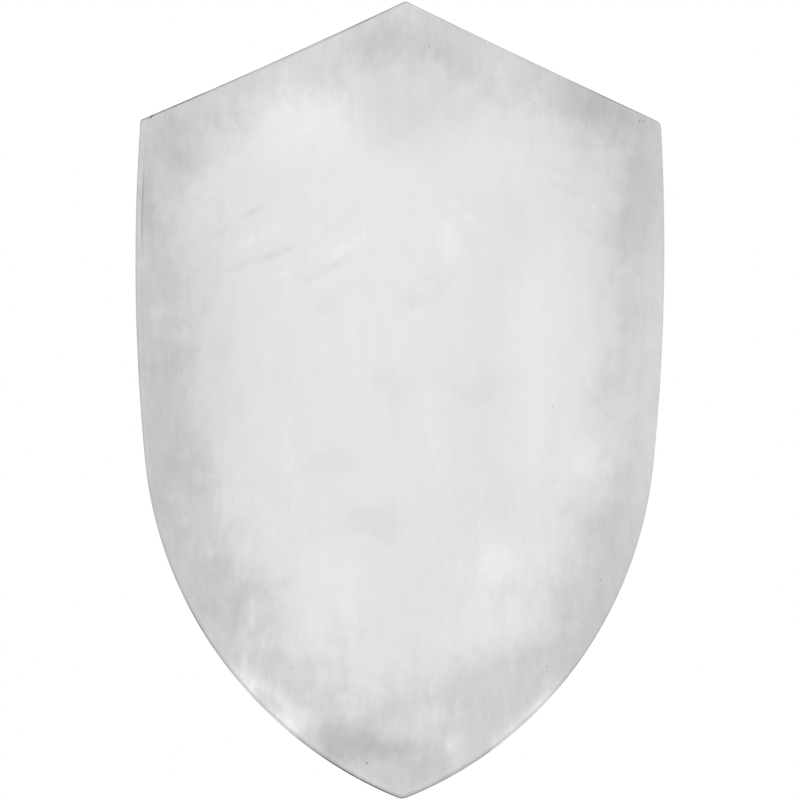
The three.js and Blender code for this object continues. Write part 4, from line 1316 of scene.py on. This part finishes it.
def lining_leather(half_width, shield):
    """Chrome-tanned, undyed and unglazed: paler, soft and matt, with open pores."""
    finish = {"pore": 1.8, "roughness": 0.74, "edge_colour": "#5a4029", "sheen": 0.15, "crack": 0.45}
    return hide("lining_leather_chrome_tanned", shield.leather.liner, half_width, **finish)


def linen_thread(shield):
    """Waxed linen, three plies twisted: a slanting rope line every 0.9 mm, and a dull wax shine."""
    material, tree, place = start_material("linen_thread_waxed")
    inputs = {"Vector": place, "Scale": BAND_GAP / (0.9 * MM), "Distortion": 1}
    twist = add(tree, "TexWave", inputs, wave_type="BANDS", bands_direction="DIAGONAL").outputs["Fac"]
    return finish_material(material, {
        # The grooves between the plies are darker: painted shade.
        "Base Color": tinted(tree, shield.leather.thread, add(tree, "MapRange", [twist, 0, 1, 0.62, 1.05])),
        "Normal": add(tree, "Bump", {"Strength": 0.4, "Distance": 0.12 * MM, "Height": twist}),
        "Roughness": 0.55,
        "IOR": 1.53,
    })


def seen_plainly(tree):
    """1 for the camera, in reflections and through glass, and 0 where the light itself falls."""
    path = add(tree, "LightPath")
    seen = path.outputs["Is Camera Ray"]
    for ray in ("Is Glossy Ray", "Is Transmission Ray"):
        seen = add(tree, "Math", [seen, path.outputs[ray]], operation="MAXIMUM")
    return seen


def floor_paint(radius):
    """Matt paint. It keeps the shadow near the object and is plain white at the floor's rim."""
    material, tree, place = start_material("floor_paint_matt")
    paint = add(tree, "BsdfPrincipled", {"Base Color": linear("#e6e6e6"), "Roughness": 0.9})
    glow = add(tree, "Emission", [(1, 1, 1, 1), 1])
    away = add(tree, "VectorMath", [place], operation="LENGTH")
    far = add(tree, "MapRange", [away, radius * 0.3, radius * 0.95, 0.5, 1], interpolation_type="SMOOTHSTEP")
    share = add(tree, "Math", [seen_plainly(tree), far], operation="MULTIPLY")
    add(tree, "OutputMaterial", [add(tree, "MixShader", [share, paint, glow])])
    return material


# Operators


class SHIELD_OT_plate(bpy.types.Operator):
    """Makes the curved plate with its rolled, mitred edge"""

    bl_idname = "shield.plate"
    bl_label = "Plate"

    def execute(self, context):
        shield = context.scene.shield
        # Where each loop's feet meet the plate
        welds = []
        for strap in (shield.forearm, shield.grip):
            aside, seat = loop_seat(strap, shield)
            ends = [(side * aside, seat, end * strap.span / 2) for side in (-1, 1) for end in (-1, 1)]
            welds += [strap_place(strap, shield) @ Vector(end) for end in ends]
        materials = [satin_steel(shield), mill_steel(shield, welds)]
        mesh, place = plate_mesh(shield.plate), shield_place(shield)
        make_piece("shield_plate", mesh, place, materials, sharp=35, name="finished_plate")
        return {"FINISHED"}


class SHIELD_OT_loops(bpy.types.Operator):
    """Makes the four strap loops and the welds that hold them"""

    bl_idname = "shield.loops"
    bl_label = "Strap loops"

    def execute(self, context):
        shield = context.scene.shield
        # Hot-rolled bar, bent cold and wire-brushed: dark, with a dull scratched shine.
        finish = {"roughness": 0.42, "grain": 0.9, "dents": 3.2, "tarnish": 0.36}
        bar = worked_steel("mild_steel_bar_wire_brushed", shield.fittings.loop_steel, **finish)
        weld = weld_steel()
        for name, strap in (("arm", shield.forearm), ("grip", shield.grip)):
            for word, end in (("upper", 1), ("lower", -1)):
                place = strap_place(strap, shield) @ Matrix.Translation((0, 0, end * strap.span / 2))
                make_piece(f"{name}_loop_{word}", loop_mesh(strap, shield), place, [bar, weld])
        return {"FINISHED"}


class SHIELD_OT_forearm_strap(bpy.types.Operator):
    """Makes both halves of the forearm strap and the keeper"""

    bl_idname = "shield.forearm_strap"
    bl_label = "Forearm strap"

    def execute(self, context):
        shield = context.scene.shield
        place = strap_place(shield.forearm, shield)
        leather = bridle_leather("bridle_leather_oiled", shield.forearm.width / 2, shield)
        for name, mesh in (("buckle", buckle_half(shield)), ("tail", tail_half(shield))):
            make_piece(f"arm_strap_{name}_half", mesh, place, [leather], sharp=50)
        leather = bridle_leather("keeper_leather_oiled", shield.leather.keeper_width / 2, shield)
        mesh, name = keeper_mesh(shield), "finished_keeper"
        make_piece("strap_keeper", mesh, place, [leather], "keeper", 50, name)
        return {"FINISHED"}


class SHIELD_OT_buckle(bpy.types.Operator):
    """Makes the buckle's frame and its prong"""

    bl_idname = "shield.buckle"
    bl_label = "Buckle"

    def execute(self, context):
        shield = context.scene.shield
        place = strap_place(shield.forearm, shield)
        # Steel wire, bent to shape and tumbled: bright and smooth, with soft dents, few scratches.
        finish = {"roughness": 0.27, "grain": 0.8, "dents": 3.5, "tarnish": 0.16}
        steel = worked_steel("steel_wire_tumbled", shield.fittings.buckle_steel, **finish)
        make_piece("buckle_frame", frame_mesh(shield), place, [steel])
        make_piece("buckle_prong", prong_mesh(shield), place, [steel], "prong")
        return {"FINISHED"}


class SHIELD_OT_grip(bpy.types.Operator):
    """Makes the hand grip, its lining and the stitching that holds them together"""

    bl_idname = "shield.grip"
    bl_label = "Hand grip"

    def execute(self, context):
        shield = context.scene.shield
        grip, leather = shield.grip, shield.leather
        place, half = strap_place(grip, shield), grip.width / 2
        dyed = bridle_leather("grip_leather_oiled", half, shield)
        make_piece("grip_strap", grip_strap(shield), place, [dyed], sharp=50)
        inwards = (leather.thickness + grip.liner) / 2 + SEAT_GAP
        section = slab(grip.width, grip.liner, leather.edge)
        mesh = sweep(liner_route(shield, inwards).finely(STRAP_STEP), section, shape=skived)
        make_piece("grip_liner", mesh, place, [lining_leather(half, shield)], sharp=50)
        mesh = bmesh.new()
        for across in (leather.crease_place - half, half - leather.crease_place):
            stitches(mesh, liner_route(shield, 0), grip.stitch, across, -leather.thickness / 2)
            stitches(mesh, liner_route(shield, inwards), grip.stitch, across, grip.liner / 2)
        make_piece("", mesh, place, [linen_thread(shield)], name="grip_stitching")
        return {"FINISHED"}


class SHIELD_OT_rivets(bpy.types.Operator):
    """Makes the ten rivets and the burrs they are closed over"""

    bl_idname = "shield.rivets"
    bl_label = "Rivets"

    def execute(self, context):
        shield = context.scene.shield
        # Soft steel, hammered cold over its burr: flats and dimples from the hammer, dark between.
        finish = {"roughness": 0.33, "grain": 0.7, "dents": 1.9, "tarnish": 0.3}
        steel = worked_steel("soft_steel_hammered", shield.fittings.rivet_steel, **finish)
        arm, grip, half = shield.forearm, shield.grip, shield.leather.thickness / 2
        rivets = [*loop_rivets(arm, shield, "arm", half), *Buckle(shield).rivets]
        add_rivets(rivets, strap_place(arm, shield), shield, steel)
        rivets = loop_rivets(grip, shield, "grip", half + SEAT_GAP + grip.liner)
        add_rivets(rivets, strap_place(grip, shield), shield, steel)
        return {"FINISHED"}


def look_along(thing, direction, roll=0.0):
    """Points a camera or a lamp along a direction, with its top up."""
    facing = direction.to_track_quat("-Z", "Y").to_matrix().to_4x4()
    thing.rotation_mode = "QUATERNION"
    thing.rotation_quaternion = (facing @ Matrix.Rotation(roll, 4, "Z")).to_quaternion()


class SHIELD_OT_stage(bpy.types.Operator):
    """Makes the camera, the lamps, the even white surroundings and a pale floor"""

    bl_idname = "shield.stage"
    bl_label = "Stage"

    def execute(self, context):
        scene, stage = context.scene, context.scene.shield.stage
        low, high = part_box("shield_plate")
        middle = Vector(((low.x + high.x) / 2 + stage.aim, high.y, (low.z + high.z) / 2))
        camera = add_object("camera", bpy.data.cameras.new("camera"))
        scene.camera = camera
        back = Vector((math.sin(stage.azimuth), -math.cos(stage.azimuth), 0))
        camera.location = middle + back * stage.distance
        look_along(camera, -back, stage.roll)
        camera.data.lens = camera.data.sensor_width * stage.distance / stage.view_width
        camera.data.clip_end = 100
        scene.view_settings.view_transform = "Standard"

        world = bpy.data.worlds.new("white studio")
        scene.world = world
        world.use_nodes = True
        tree = world.node_tree
        tree.nodes.clear()
        strength = add(tree, "MapRange", [seen_plainly(tree), 0, 1, stage.ambient, 1])
        light = add(tree, "Background", {"Color": (1, 1, 1, 1), "Strength": strength})
        add(tree, "OutputWorld", [light])

        mesh = bmesh.new()
        bmesh.ops.create_circle(mesh, cap_ends=True, segments=96, radius=stage.floor_radius)
        floor = add_object("floor", mesh_data("floor", mesh))
        mesh.free()
        floor.location = (middle.x, middle.y, low.z - stage.floor_drop)
        floor.data.materials.append(floor_paint(stage.floor_radius))

        # Each lamp's name, place from the shield's middle, size and power, with sizes in metres
        lamps = (
            ("front lamp", (-0.1, -2.4, 0.15), (3.4, 2.4), stage.front),
            ("top lamp", (0.5, -0.9, 2.6), (1.4, 1.4), stage.top),
            ("back lamp", (0.9, 2.4, 1.3), (1.6, 1.6), stage.back),
        )
        for name, place, size, power in lamps:
            lamp = add_object(name, bpy.data.lights.new(name, "AREA"))
            lamp.data.shape, lamp.data.energy = "ELLIPSE", power
            lamp.data.size, lamp.data.size_y = size
            lamp.location = middle + Vector(place)
            look_along(lamp, -Vector(place))
        return {"FINISHED"}


OPERATORS = (
    SHIELD_OT_plate, SHIELD_OT_loops, SHIELD_OT_forearm_strap, SHIELD_OT_buckle, SHIELD_OT_grip,
    SHIELD_OT_rivets, SHIELD_OT_stage,
)


class SHIELD_PT_pieces(bpy.types.Panel):
    """Lists the shield's sizes, colours and pieces"""

    bl_idname = "SHIELD_PT_pieces"
    bl_label = "Four point shield"
    bl_space_type = "VIEW_3D"
    bl_region_type = "UI"
    bl_category = "Shield"

    def draw(self, context):
        shield = context.scene.shield
        for name, group in ShieldSettings.__annotations__.items():
            box = self.layout.box()
            box.label(text=group.keywords["name"])
            for setting in group.keywords["type"].__annotations__:
                box.prop(getattr(shield, name), setting)
        for operator in OPERATORS:
            self.layout.operator(operator.bl_idname)


CLASSES = (*SETTINGS, *OPERATORS, SHIELD_PT_pieces)


def register():
    for part in CLASSES:
        bpy.utils.register_class(part)
    bpy.types.Scene.shield = PointerProperty(type=ShieldSettings)


def unregister():
    del bpy.types.Scene.shield
    for part in reversed(CLASSES):
        bpy.utils.unregister_class(part)


def main():
    register()
    bpy.ops.shield.plate()
    bpy.ops.shield.loops()
    bpy.ops.shield.forearm_strap()
    bpy.ops.shield.buckle()
    bpy.ops.shield.grip()
    bpy.ops.shield.rivets()
    bpy.ops.shield.stage()


if __name__ == "__main__":
    main()
